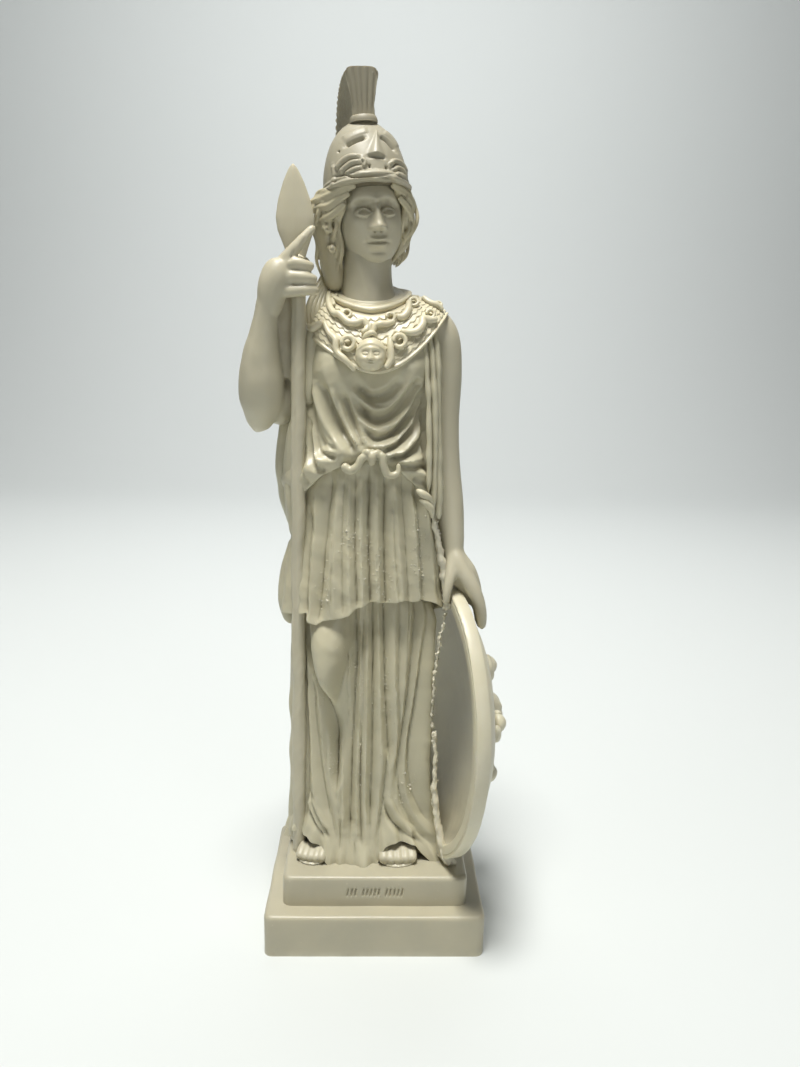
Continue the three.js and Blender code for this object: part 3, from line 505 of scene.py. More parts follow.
# Overfold. The upper layer of the same wool falls from the belt to above the knee in soft
# pleats, its hem rising towards the shield. It is a second tube outside the first.
OVERFOLD = table("""
76 -5.4 25.9 -16.2 17.8, 92 -5.2 24.6 -15.4 17.2, 106 -4.8 22.8 -14 16.2,
118 -4.4 20.8 -12.8 14.8, 128 -3.8 18.2 -11.6 13.4, 136 -3.4 17 -11 12.8""")[0]
OVERFOLD_TOP = 134
OVERFOLD_FRONT = table("""
2.6 1.6, -24.2 108, -25.6 92, -26.6 78; 3.2 2.2, -21.2 116, -22.4 96.8, -23 78;
4 2.9, -15 127, -17.2 104.5, -19.8 76; 3.4 1.7, -11.2 127, -11.8 104.6, -11.2 78;
3 2.1, -8 128, -7.9 104.7, -6.6 80; 3.4 2.6, -4 129, -3.8 104.7, -2.6 80;
3.4 2.8, 0.5 128, 1.1 104.8, 2.6 80; 3.6 2.1, 5.4 126, 7.2 108.5, 10 80;
2.8 2, 9.4 124, 11.5 108.6, 14.6 80; 2.6 1.9, 12.2 121, 14.8 108.7, 17.9 80;
2.2 1.5, 15 118, 17.6 104, 20.6 80; 1.5 0.9, -13.4 122, -14.6 104, -15.4 80;
1.5 0.8, -1.8 122, -1.4 104, -0.2 84; 1.6 0.9, 3 122, 4 104, 6.2 84;
1.3 0.7, -18.6 118, -19.8 100, -21.2 80; 1.2 0.6, -6 124, -5.9 104, -4.8 84;
1.2 0.7, 8.6 112, 9.6 100, 12.2 84""")
OVERFOLD_BACK = table("""
-66 -62 1.8, -82 -80 1.4, -97 -96 2.2, -115 -114 1.8, -137 -136 2.3, -157 -156 1.8, -176 -176 2.3,
164 164 1.8, 144 143 2.3, 124 123 1.7, 104 104 2, 84 86 1.6, 68 70 1.4""")[0]
OVERFOLD_HEM = table("""
-31 80.6, -27 81, -23 82.2, -21.4 79.8, -19.4 79, -17.4 80.4, -14.4 81.2, -11.4 81.8, -9.2 82.9,
-7.6 84.6, -5.4 85.4, -3.4 86.4, -1.2 86.9, 2 85.9, 4.6 86.7, 7.2 87.3, 10.2 86.3, 12.8 86.9,
15.2 85.9, 17.2 84.2, 19.4 82.6, 22 81.4""")[0]


def overfold_place(angle, t):
    angle, height, turned, low, flat, front = hanging(
        angle, t, OVERFOLD, OVERFOLD_TOP, OVERFOLD_HEM, 84.0, (80.0, 0.9, 12), 0.2, 0.03)
    x, _, z = flat.T
    cut = carved(x, z, OVERFOLD_FRONT) * front
    cut += pleats(angle, t, OVERFOLD_BACK, 22) * (1 - 0.9 * front)
    lift = bell(z, low + 26, 26) * np.maximum(0, np.cos(angle))
    lift += 1.8 * bell(angle, 1.05, 0.3) * (1 - smooth(height, 0.5, 0.9))
    lift += 0.5 * (1 - height) ** 2 * np.cos(angle * 11 + 1) - cut * mixed(1.15, 0.85, height)
    lift += 0.16 * wobble(flat, 8, 21) + 0.09 * wobble(flat, 3.0, 22) - 3.4 * turned
    return hung(OVERFOLD, flat, angle, lift, 1.2 * turned)


overfold = tube(310, 104, overfold_place)
cast("overfold", overfold, cloth_resin, reach=16, depth=0.75)

# Blouse. The cloth above the belt swells over it in a pouch, hangs in deep swags between the
# breasts and falls in long strips from the shoulder on the side of the shield.
BLOUSE = table("""
110 -5 20.4 -10.6 13.4, 121 -5.8 22.8 -12.8 15.4, 131 -5.6 22.4 -13.4 15.4,
141 -5 21.4 -12.8 14.8, 152 -3.6 20.2 -12.6 14, 163 -2.9 19.2 -11.8 13.2, 169 -2.9 17 -10 11.6,
173 -3.6 11 -6.6 9, 175.5 -4.2 6.6 -4.6 6.6""")[0]
BLOUSE_TOP = 175.5
POUCH_HEM = table("""
-28 116.6, -24 117.6, -20 121.6, -16.5 124.6, -12 127, -8 128.8, -4 129.6, 0.5 128.2, 4.5 125.8,
8.5 122.2, 12 118.2, 14.5 115.4, 18 115, 22 116""")[0]
SWAGS = table("""
2.4 1.3, -22.2 152, -21.6 144.5, -19.4 136, -15.6 130.8;
2.8 2.1, -17.8 151.5, -15.9 144.5, -11.8 136.4, -7 130.8;
2.2 1.7, -12.4 149, -10.2 142.6, -7.6 136.6, -5 131;
2.4 1.6, -8.8 151, -4.4 147, 1 148.2, 5.2 153;
2.8 2.2, -8.6 146, -3.8 140.8, 2.4 142, 7.6 149, 9.4 153;
2.6 2.2, -6.4 138.6, -2.2 135, 3.6 137, 9.2 144, 11.2 151;
2.2 1.9, -1.6 131.2, 4.4 133.8, 9.8 139.6, 12.4 147.5;
2 1.6, 0.6 129.4, 6.4 130.6, 11.2 134, 13.4 140;
1.8 1.3, 2.4 127.8, 7.6 127.2, 12 126.4, 14.2 122; 1.6 1, 8 124, 11.2 122.4, 14 118.6;
2 1.5, -22.4 143, -21.4 133, -19 127, -15.4 125.6; 1.8 1.3, -20.2 137, -17.8 131, -12.4 129.4;
1.6 1.2, -23.4 134, -22.8 126, -21.4 120; 1.8 1.4, 10.9 150, 12 140, 12.9 128.2;
1.2 0.7, -20.4 140, -17.8 134.4, -12.6 131.4; 1.2 0.7, -14.2 147, -11.4 139.8, -7.8 133.8;
1.1 0.6, -3.2 144.2, 1.6 145.2, 6 150.4; 1.1 0.6, -1.6 137.6, 3.4 139, 7.6 144""")
SWAG_RIDGES = table("""
1.7 0.8, -20 150, -18.8 144, -15.8 137.4, -11 132.2;
1.7 0.8, -14.8 150, -13 143.6, -9.6 137, -6.2 131.6;
1.5 0.8, -8.4 148.6, -4.2 144, 1.6 145.2, 6.6 151;
1.5 0.9, -7.6 141.8, -3 137.8, 3 139.4, 8.4 146; 1.4 0.9, -3.4 133.2, 3.8 135.4, 9.6 141.8;
1.3 0.8, -0.4 130.6, 5.4 132.2, 10.6 136.6; 1.2 0.7, 1.4 128.8, 7 129, 12.2 130;
1.3 0.6, -21.8 139, -20.2 132, -16.8 128.2""")
BLOUSE_BACK = table("""
-80 -78 1.5, -98 -100 2, -118 -122 1.5, -142 -146 2.1, -163 -165 1.5, 178 178 2, 158 156 1.5,
136 138 2.1, 114 116 1.6, 94 96 1.8""")[0]
STRIPS = table("""
0.6 10.8 -9.4 165, 0.9 11.9 -11 156, 0.7 12.9 -11.3 143.9, 1 13.4 -11.6 130, 0.7 13.5 -12 119;
0.6 12.6 -8.2 166, 0.8 13.7 -9.6 156, 1.1 14.7 -9.9 143.9, 0.8 15.2 -10.2 128, 1 15.2 -10.6 114;
0.7 14.4 -6.8 166, 1 15.3 -8 156, 0.8 15.8 -8.3 143.9, 1.2 16.4 -8.5 128, 1.2 17 -9.2 111.6;
0.5 9.8 -13.4 120.6, 1 11.6 -13.9 119.6, 1.1 13.4 -13.4 118.4, 0.6 14.4 -12.4 116.4;
0.5 10.6 -13.4 118, 1.1 12.6 -13.8 116.8, 1 14.4 -13.2 114.6, 0.5 14.8 -12.2 112""")


def dip(q):
    return 0.5 + 0.5 * np.cos(math.pi * q)


def unit(ways):
    return ways / np.linalg.norm(ways, axis=-1, keepdims=True)


def limb(points, radii, around=20, along=36, ends=0.1):
    """A round limb along a smooth curve, rounded at both ends."""
    path = smooth_path(points, along + 1)
    shares = np.linspace(0, 1, along + 1)
    sizes = smooth_path([[r, 0] for r in radii], along + 1)[:, 0]
    ahead = unit(np.gradient(path, axis=0))
    first = np.empty_like(path)
    guide = np.array((0.3, 1.0, 0.2))
    for i, way in enumerate(ahead):
        guide = unit(guide - (guide @ way) * way)
        first[i] = guide
    second = np.cross(ahead, first)
    caps = np.clip(np.minimum(shares, 1 - shares) / ends, 0, 1)
    sizes = sizes * np.sqrt(0.02 + 0.98 * caps * (2 - caps))

    def place(angle, t):
        row = np.rint(t * along).astype(int)
        out = np.sin(angle)[:, None] * first[row] + np.cos(angle)[:, None] * second[row]
        return path[row] + out * sizes[row][:, None]

    return tube(around, along, place)


def limbs(rows, **shape):
    """A limb for each row of a table whose spots are a radius and a place."""
    return [limb([spot[1:] for spot in row], [spot[0] for spot in row], **shape) for row in rows]


def together(meshes):
    bm = bmesh.new()
    for mesh in meshes:
        bm.from_mesh(mesh)
    return mesh_from(bm)


def blouse_place(angle, t):
    angle, height, turned, low, flat, front = hanging(
        angle, t, BLOUSE, BLOUSE_TOP, POUCH_HEM, 122.0, (118.6, 0.8, 9), 0.2, 0.028)
    x, _, z = flat.T
    over = z - low
    bust = 3.2 * (bell(x, -15.4, 6.4) + bell(x, 7.4, 6.0)) * bell(z, 154.5, 8.0)
    between = -1.4 * bell(x, -3.8, 4.5) * bell(z, 151, 9)
    cut = 1.1 * carved(x, z, SWAGS, dip) * front * smooth(x, -24.4, -21.4)
    cut += pleats(angle, t, BLOUSE_BACK, 20) * (1 - 0.9 * front) * smooth(176 - z, 4, 14)
    ripple = 0.35 * np.cos(x * 1.1 + 0.4) * bell(over, 2.5, 3)
    lift = np.maximum(0, np.cos(angle)) * (bust + between) + 2.5 * bell(over, 4.4, 4.6) - cut
    lift += (carved(x, z, SWAG_RIDGES, dip) + ripple) * front - 3.8 * turned
    lift += 0.12 * wobble(flat, 8, 31) + 0.06 * wobble(flat, 3, 32)
    return hung(BLOUSE, flat, angle, lift, 1.3 * turned)


blouse = tube(290, 146, blouse_place)
strips = [pushed(strip, 0.22 * wobble(points_of(strip), 5, 33))
          for strip in limbs(STRIPS, around=14, along=60)]
cast("blouse", together([blouse, *strips]), cloth_resin, reach=9, depth=0.6)

# Side cloth. The open side of the dress hangs behind the spear in a few thick folds, from the
# raised arm to the plinth.
SIDE_FOLDS = table("""
2.2 -18.6 -5 167, 2.8 -21 -6 161, 2.8 -22 -6.4 153, 2.2 -22.4 -6.4 144;
4 -21 3 160, 4.4 -26.4 3 142, 4.4 -28.4 2.5 128, 3.6 -28 3 116, 2.6 -25.6 3 104;
3 -20 -3 158, 3.2 -23.8 -4 142, 3.4 -26 -4 128, 3 -26.2 -4 114, 2 -24.6 -4 102;
3.2 -22 8 156, 3.6 -26 9 140, 3.8 -27.6 9 126, 3.2 -26.6 9 112, 2 -24 9 102;
2.2 -25.6 -2 104, 3 -27.6 -2 94, 3.4 -28.4 -2 84, 1.8 -27.2 -2 76;
2.2 -25.4 5 104, 3.2 -27.2 5 94, 3.5 -27.8 5 85, 1.8 -27 5 77.5;
2.4 -24.6 -1 78, 2.8 -25.6 -1 52, 2.6 -25.6 -1 26, 2.8 -26.6 -1 -0.6;
2.4 -24 6 78, 2.8 -24.8 6 52, 2.6 -24.8 6 26, 2.8 -25.8 6 -0.6""")
side_folds = [pushed(fold, 0.4 * wobble(points_of(fold) * (1, 1, 0.35), 5, 41 + i))
              for i, fold in enumerate(limbs(SIDE_FOLDS, around=24, along=54))]
cast("side_cloth", together(side_folds), cloth_resin, depth=0.6)

# Feet. Bare toes on thin soles show under the hem, pressed into the plinth. Each foot is a low
# dome with five toes on an oval sole, fused and softened as cast flesh.
FOOT_VOXEL = 0.3
TOES = [(-0.74, 1.0), (-0.38, 1.05), (0, 1.1), (0.38, 1.12), (0.74, 1.3)]


def fused(meshes, voxel, rounds):
    """The forms melted into one skin of even fineness, then softened."""
    blank = bpy.data.objects.new("fusing", together(meshes))
    bpy.context.scene.collection.objects.link(blank)
    skin = blank.modifiers.new("skin", "REMESH")
    skin.mode = "VOXEL"
    skin.voxel_size = voxel
    graph = bpy.context.evaluated_depsgraph_get()
    mesh = bpy.data.meshes.new_from_object(blank.evaluated_get(graph), depsgraph=graph)
    bpy.data.objects.remove(blank)
    return set_points(mesh, softened(mesh, rounds))


def swung(a, b, angle):
    """The pair a and b turned by an angle, from a towards b."""
    return a * math.cos(angle) - b * math.sin(angle), a * math.sin(angle) + b * math.cos(angle)


def foot(x, front, half, big, turn):
    """A foot whose toes reach to front; big is +1 or -1, the side of the big toe."""
    sole = limb([(0, 12, 0.4), (0, 6, 0.4), (0, 0.6, 0.4)], [half, half, half * 0.92],
                around=40, ends=0.35)
    set_points(sole, points_of(sole) * (1, 1, 0.1) + (0, 0, 0.2))
    dome = limb([(0, 13, 3.0), (0, 8, 2.8), (0, 4.6, 1.6)],
                [half * 0.92, half * 0.96, half * 0.86], around=40, ends=0.4)
    set_points(dome, points_of(dome) * (1, 1, 0.6))
    toes = []
    for share, size in TOES:
        side = big * share * half * 0.98
        toe = size * half * 0.225
        toes.append(limb(
            [(side * 0.9, 7.5, 3.9), (side, 4.4, 2.9), (side, 1.1 + 0.9 * share ** 2, 1.35)],
            [toe, toe * 1.08, toe], around=16, along=24, ends=0.2))
    made = fused([sole, dome, *toes], FOOT_VOXEL, 4)
    aside, ahead, high = points_of(made).T
    turned = np.stack([*swung(aside, ahead, math.radians(turn)), high], 1)
    return set_points(made, turned + (x, front, 0))


skin_resin = resin("skin_resin", (0.50, 0.465, 0.345), (0.535, 0.495, 0.365),
                   (0.19, 0.165, 0.105), (0.66, 0.625, 0.49), rough=0.42, crumbs_and_glints=0.25)
feet = together([foot(-21.4, -15.2, 5.0, 1, -14), foot(7.5, -16.4, 6.2, -1, 4)])
cast("feet", feet, skin_resin, reach=7, depth=0.75)

# Neck and head. A calm, plain face on even thirds, brow, base of the nose and chin, on an
# egg-shaped head that is turned a little to the side of the shield.
HEAD_PLACE = np.array((-5.1, -1.2, 197.0))
HEAD_TURN = math.radians(12)
HEAD_TILT = math.radians(-5)
FACE_HALF = 9.4
FACE_FRONT = 10.2
FACE_BACK = 10.5
CHIN = 13.6
CROWN = 14
EYE_LINES = table("""
0.42 0.62, 1.4 0.2, 2.4 1.2, 3.6 1.6, 4.8 1.15, 5.7 0.1;
0.34 0.26, 1.5 0.1, 2.5 -0.65, 3.6 -0.85, 4.8 -0.45, 5.6 0.05""")
EYE_CREASE = table("""
0.6 0.3, 1.9 1.7, 2.8 2.35, 3.8 2.5, 5.2 1.8""")
FACE_SPOTS = table("""
-2.1 3.4 2.7 1.5 1.9, -0.7 1.6 0.8 1 1.3, 0.5 0 1.3 -3.6 1, 0.8 1.85 0.62 -3.9 0.8,
-0.45 0.85 0.4 -4.85 0.35, 0.9 0 3.8 -7.4 3, -0.25 0 0.6 -6.2 0.7, -0.35 3.35 0.6 -7.6 0.6,
-0.5 0 2.2 -10.1 0.6, 1.3 0 2.9 -12 1.8, 1 5.3 2.8 -2.6 3.4""")[0]
NECK = table("""
13 -4 1.5 164, 11 -4.5 1 169, 8.8 -5 0.6 173.5, 7.5 -5.4 0.3 178, 7 -5.5 -0.1 184,
7.3 -5.4 -0.4 191""")
TENDONS = table("""
2.4 0.45, -8.4 186, -6.4 179, -4.8 174; 2.4 0.4, 1 187, -1.2 180, -3.4 174;
1 0.2, -10 179.6, -5 178.2, 0.5 179.6""")


def in_head(x, y, z):
    """Points given in the head's own frame, in the figure's frame."""
    tilted, high = swung(x, z, -HEAD_TILT)
    return np.stack([*swung(tilted, y, HEAD_TURN), high], -1) + HEAD_PLACE


def swellings(side, z, spots):
    """Soft rises: each has its height, its place and reach sideways, and the same upwards."""
    return sum(rise * bell(side, x, wide) * bell(z, up, high) for rise, x, wide, up, high in spots)


def face_relief(x, z):
    """How far the features stand out of the egg, in the head's millimetres."""
    side = np.abs(x)
    arch = 3.7 + 0.45 * bell(side, 3.5, 2.1) - 0.12 * np.maximum(0, side - 4.4) ** 1.6
    brow = smooth(z, arch - 1.3, arch) * (1 - smooth(z, arch + 0.1, arch + 4.4))
    brow = 0.95 * brow * (1 - smooth(side, 5.6, 8.2))
    eye = 1.15 * roll(np.clip(np.hypot((side - 3.6) / 2.25, (z - 0.4) / 1.4), 0, 1)) ** 0.8
    lids = carved(side, z, EYE_LINES, roll) - carved(side, z, EYE_CREASE)
    length = np.clip((4.0 - z) / 8.2, 0, 1)
    wide = 1.3 + 0.1 * length + 0.5 * smooth(length, 0.62, 1.0)
    ridge = (0.95 + 2.15 * length) * np.exp(-(side / wide) ** 3)
    nose = ridge * smooth(z, -5.0, -4.1) * (1 - smooth(z, 1.4, 4.8))
    made = brow + eye + lids + nose + swellings(side, z, FACE_SPOTS)
    for rise, up, bend, high, half, power in (
        (1.1, -7.05, 0.05, 0.62, 3.3, 2), (1.3, -8.7, 0.07, 0.78, 2.9, 2),
        (-0.7, -7.8, 0.03, 0.26, 3.2, 4),
    ):
        lip = bell(z, up + bend * side ** 2, high) * np.clip(1 - (side / half) ** power, 0, 1)
        made += rise * lip
    return made


def ball(angle, t):
    """Sideways, upwards and forwards places from -1 to 1 on a round form."""
    rise = -np.cos(math.pi * t)
    ring = np.sqrt(np.clip(1 - rise ** 2, 0, 1))
    return np.sin(angle) * ring, rise, np.cos(angle) * ring


def head_place(angle, t):
    """Rings from the chin to the crown, closer together at the face."""
    angle = angle - 0.5 * np.sin(angle)
    aside, rise, front = ball(angle, t)
    jaw = np.clip(1 - np.abs(rise) ** 2.6, 0, 1) ** (1 / 2.2) * (1 - 0.13 * rise ** 2)
    x = np.where(rise < 0, np.sin(angle) * jaw, aside) * FACE_HALF
    z = rise * np.where(rise < 0, CHIN, CROWN)
    deep = FACE_FRONT * (1 - 0.08 * np.maximum(0, -rise)) * (1.02 - rise ** 2) ** -0.22
    relief = face_relief(x, z) * smooth(front, 0.05, 0.45)
    y = np.where(front > 0, -front * deep - relief, -front * FACE_BACK)
    return in_head(x, y, z)


neck = limbs(NECK, around=72, along=50, ends=0.05)[0]
co = points_of(neck)
pushed(neck, -carved(co[:, 0], co[:, 2], TENDONS) * smooth(-co[:, 1], 0, 3))
head = together([tube(196, 168, head_place), neck])
cast("head", head, skin_resin, reach=7, depth=0.9, crease=65)

# Hair. Thick waves roll back from the brow over the ears and fall beside the neck, three tails
# hang down the back and a few thin strands lie on the shoulder. The waves run side by side over a
# solid mass and are cast as one with it.
HAIR_SIDES = table("""
-5.6 -8.8 7.2, -8.3 -6.9 4.8, -9.2 -5.2 0.6, -9.7 -3.6 -4.4, -9.4 -1.8 -9.4, -9 0.4 -14,
-8.8 2.4 -18.6;
-9 -5.4 7.8, -14.2 -2.6 5.6, -15.8 -0.8 2, -15.4 0.6 -2.8, -14.6 1.6 -7.4, -14.4 2.8 -12.4,
-13.2 4 -18.6; 5.4 -8.8 7, 7.9 -6.6 4.6, 8.7 -5 -0.2, 8.5 -3.2 -5, 7.2 -1.2 -9.6, 5.6 0.8 -13.2;
8.6 -5.6 7.6, 11.8 -2.4 4.6, 12.6 -0.8 0.2, 11.6 0.8 -4.8, 9.8 2.2 -9.2, 7.4 3.6 -13.4""")
HAIR_LAYERS = [[[6, 4], 0.76, 0.0, 0.75], [[5, 3], 0.6, 0.75, 1.1]]
HAIR_ROLLS = table("""
0.72, -5.2 -9.4 7.6, -8.6 -8 7, -11.6 -5.4 5.8, -14 -3 5.2, -17 -1.6 4.6;
0.64, -7 -8.8 5.6, -9.6 -7 4.6, -12.2 -5 3, -14.6 -2.6 3, -16 -1.2 1.6;
0.6, -8.2 -7.6 3.2, -10.2 -6.2 1.6, -12.6 -4.4 0.2, -14.6 -2.2 -0.4;
0.7, 4.6 -9.6 7.6, 7.4 -8.2 6.4, 9.8 -5.6 5.6, 11.8 -3 3.6, 12.4 -1.2 0.8;
0.6, 6.8 -8.6 4.4, 8.8 -6.8 2.8, 10.6 -4.4 1.2, 11.8 -2.2 -1.2""")
HAIR_CURLS = [(-13.0, -3.4, -3.0, 1.3), (-12.2, -2.8, -8.4, 1.2), (9.6, -3.0, -5.4, 1.0)]
HAIR_MASSES = table("""
3.1 -10.2 -2 5, 3.5 -12.6 0.4 0, 3.3 -12.1 1.5 -8, 2.8 -10.6 3.2 -19.5;
2.6 8.6 -1.4 5, 2.9 10.2 0.8 0, 2.5 9 2 -6, 1.4 7 3 -12""")
HAIR_TAILS = table("""
-4 12 -6, -4.5 13 -16, -3 14.5 -28, -3.5 14 -37.5; 4 12 -6, 4 13 -16, 5 14.5 -28, 4.5 14 -37.5;
0 13 -4, 0 14 -14, 1 15.2 -24, 0.5 15 -33""")
LOOSE = table("-15 4 183, -16.6 1 177, -17.4 -3 171.5, -17.8 -5.4 166")[0]
LOOSE_STEP = table("-0.6 -0.36 0, -0.84 -0.6 0, -1.2 -0.36 0, -1.08 0 0")[0]
HAIR_VOXEL = 0.25


def lock(path, size, thick, along, ends):
    """A strand along points in the head's own frame; thick gives its shares of size."""
    return limb(in_head(*np.transpose(path)), size * np.array(thick),
                around=10, along=along, ends=ends)


def beside(path):
    """The way out from the head and the way aside, at each point of a line on it."""
    out = unit(path * (1, 1, 0))
    return out, unit(np.cross(np.gradient(path, axis=0), out))


def waved(inner, outer, share, size, rise, sway):
    """A strand at a share of the way from the inner line to the outer one, swaying as it falls."""
    path = smooth_path(mixed(np.array(inner), np.array(outer), share), 22)
    out, aside = beside(path)
    down = np.linspace(0, 1, len(path))
    phase = 17 * down + 2.6 * share + 4 * rise
    swing = np.sin(phase) * sway * smooth(down, 0, 0.15)
    path = path + aside * swing[:, None] + out * (rise + 0.35 * np.cos(phase))[:, None]
    return lock(path, size, (0.8, 1, 1, 0.9, 0.4), 60, 0.05)


def rolled(size, points):
    """Three strands side by side along one roll of hair, the middle one raised."""
    path = np.array(points)
    out, aside = beside(path)
    spread = np.interp(np.linspace(0, 1, len(path)), [0, 0.2, 0.8, 1], [0.6, 1, 0.9, 0.3])
    return [lock(path + aside * (shift * size * spread)[:, None] + out * rise, size,
                 (0.75, 1, 1, 0.95, 0.5), 46, 0.06)
            for shift, rise in ((-1.15, 0), (0, 0.35), (1.15, 0))]


def curl(x, y, z, radius):
    """A lock end rolled up like a snail, facing away from the head."""
    turns = np.linspace(0, 3 * math.pi, 13)
    size = radius * np.linspace(1, 0.2, 13)
    ahead = size * np.cos(turns)
    path = [x + math.copysign(1, x) * ahead, y + 0.3 * ahead - 0.06 * np.arange(13),
            z + size * np.sin(turns)]
    return lock(np.stack(path, 1), radius, (0.34, 0.4, 0.34, 0.24), 44, 0.05)


def nape_place(angle, t):
    aside, rise, front = ball(angle, t)
    waves = 0.35 * np.sin(angle * 26 + 3.2 * rise + 0.8 * np.sin(rise * 7))
    return in_head(-1 + aside * (12.2 + waves), 5.5 - front * (9.4 + waves), -3 + rise * 10.6)


waves = [limb(in_head(*np.transpose(row)[1:]), [spot[0] for spot in row], around=40, along=50)
         for row in HAIR_MASSES]
for k in range(2):
    for counts, size, rise, sway in HAIR_LAYERS:
        for i in range(counts[k]):
            share = (i + 0.6 * (rise > 0)) / (counts[k] - 0.6)
            waves.append(waved(*HAIR_SIDES[2 * k:2 * k + 2], share, size, rise, sway))
for (size,), *path in HAIR_ROLLS:
    waves += rolled(size, path)
waves += [curl(*numbers) for numbers in HAIR_CURLS]
strands = []
for tail in HAIR_TAILS:
    for i in range(7):
        turns = i / 7 * 2 * math.pi + np.linspace(0, 2.2, len(tail))
        off = np.stack([2.3 * np.cos(turns), 2.0 * np.sin(turns), 0 * turns], 1)
        off *= np.array([1, 1.1, 0.9, 0.3])[:, None]
        strands.append(lock(np.array(tail) + off, 1, (1.5, 1.7, 1.5, 0.7), 40, 0.06))
for i in range(5):
    strands.append(limb(np.array(LOOSE) + i * np.array(LOOSE_STEP), [0.9, 1.15, 1.0, 0.5],
                        around=10, along=40, ends=0.08))
# Its near-black shade colour, with the small depth given to cast below, paints the gaps between the
# locks dark: painted shade, partly patina.
hair_resin = resin("hair_resin", (0.46, 0.42, 0.29), (0.50, 0.45, 0.30),
                   (0.10, 0.085, 0.045), (0.70, 0.655, 0.49))
hair = together([fused(waves, HAIR_VOXEL, 0), *strands, tube(120, 44, nape_place)])
cast("hair", hair, hair_resin, reach=6, depth=0.22)

# Helmet. A tall helmet pushed up off the face: above its rolled brim it keeps a face of its own,
# slanted eye holes, a peaked nose guard and feathers, all low relief on one domed shell.
HELMET_HALF = 12.1
HELMET_FRONT = 13.2
HELMET_BACK = 13.6
HELMET_BRIM = 6.2
HELMET_TOP = 25.9
HELMET_SLOTS = table("""
0.95 1.5, -12 213.9, -9.4 215.3, -6.4 216.5; 0.95 1.5, -2.6 217.2, -0.5 216.1, 1.9 213.7;
0.6 0.9, -5.3 208.9, -5.15 207.9; 0.6 0.9, -0.7 208.9, -0.5 207.9;
0.5 0.6, -13.9 213, -13.6 212.4; 0.8 0.5, -6 210.9, -3.3 211.1, -0.6 210.9;
0.5 0.7, -15 206, -12 206.1, -9.4 205.3, -3.2 205.6, 2.6 204.6""")
HELMET_RIDGES = table("""
0.75 0.9, -14.5 207.4, -12.8 209.6, -10.4 210.9, -7.4 210.6;
0.7 0.8, -13.6 206.4, -11.6 208.2, -9.6 209.3, -7 209.3;
0.65 0.7, -11.8 206, -9.6 207.3, -7 207.9; 0.5 0.7, -7.4 210.4, -6.4 209.4, -6.8 207.8;
0.7 0.9, 0.2 208.9, 1.4 210.6, 3.4 210.4, 5.2 207.9;
0.65 0.8, 1 207.5, 2.3 208.9, 3.8 208.5, 5.2 206.6; 0.6 0.7, 1.5 206.1, 2.8 207.3, 4.2 206.6;
0.9 0.6, -9.6 206, -6.4 206.4, -3 207, 0.3 206.6, 3.2 205.3;
1.1 0.35, -13 215.8, -9.6 217.6, -5.6 219; 1.1 0.35, -1.6 219.2, 0.8 218, 3 215.4;
0.6 0.5, -15.6 203.4, -14.8 206.4, -15.4 209.6""")
GUARD_PEAK = (-3.5, 218.9)
GUARD_HALF = 2.8
GUARD_FOOT = 211.8


def helmet_place(angle, t):
    angle = angle - 0.4 * np.sin(angle)
    height, under = hemmed(t, 0.05)
    brim = 0.9 * bell(height, 0.04, 0.03) + 0.3 * bell(height, 0.11, 0.02)
    visor = 0.4 * bell(height, 0.08, 0.04) * smooth(np.cos(angle), 0.55, 0.8)
    proud = np.where(under > 0, -2.2 * under, brim + visor)
    bulge = np.sqrt(np.clip(1 - height ** 2.3, 0.004, 1))
    deep = np.where(np.cos(angle) > 0, HELMET_FRONT * (1 - 0.25 * height), HELMET_BACK)
    edge = HELMET_BRIM + 1.4 * np.cos(angle) - 9 * smooth(-np.cos(angle), 0.1, 0.95)
    x = -0.5 + np.sin(angle) * (HELMET_HALF * bulge + proud)
    y = -np.cos(angle) * (deep * bulge + proud)
    return in_head(x, y, mixed(edge, HELMET_TOP, height) + proud * height ** 3)


helmet = tube(210, 122, helmet_place)
co = points_of(helmet)
x, y, z = co.T
relief = carved(x, z, HELMET_RIDGES, roll) - carved(x, z, HELMET_SLOTS)
down = np.clip((GUARD_PEAK[1] - z) / (GUARD_PEAK[1] - GUARD_FOOT), 0, 1)
across = np.abs(x - GUARD_PEAK[0]) / (GUARD_HALF * down + 0.05)
guard = (0.2 + 0.95 * down) * dip(np.clip(across, 0, 1))
guard *= smooth(z, GUARD_FOOT - 0.5, GUARD_FOOT) * (down > 0)
pushed(helmet, (relief + guard) * smooth(-y, 1, 4) + 0.08 * wobble(co, 7, 51))
# A darker copy of the same resin: painted shade that dims the dome where the lamp above falls on it.
helmet_resin_painted_shade = resin("helmet_resin_painted_shade", (0.37, 0.343, 0.256), (0.405, 0.374, 0.275),
                     (0.15, 0.125, 0.075), (0.70, 0.65, 0.50), rough=0.46)
cast("helmet", helmet, helmet_resin_painted_shade, reach=9, depth=0.4)

# Crest. A fan of horsehair stands in a low band on the dome and sweeps back to the nape, combed
# into flutes on its front and slanted strands on its sides.
CREST_FOOT = [(-3.2, 24.4), (3, 24), (8.6, 19.5), (12, 12), (13, 3)]
CREST_EDGE = [(-4.4, 38.4), (3, 37.6), (10.5, 33.8), (16.4, 26), (18.6, 14), (17, 0)]
CREST_SHARE = [0, 0.3, 0.65, 0.88, 1]
CREST_HALF = [3.4, 3.3, 4.2, 5.1, 4.95]
CREST_FLUTES = 5
CREST_STRANDS = 25


def block(cuts):
    """A cube from -1 to 1 whose faces are cut into even grids."""
    bm = bmesh.new()
    bmesh.ops.create_cube(bm, size=2)
    for axis, count in enumerate(cuts):
        way = [e for e in bm.edges if abs(e.verts[0].co[axis] - e.verts[1].co[axis]) > 1]
        bmesh.ops.subdivide_edges(bm, edges=way, cuts=count, use_grid_fill=True)
    return mesh_from(bm)


def combed(turns):
    return 0.5 + 0.5 * np.cos(turns * 2 * math.pi)


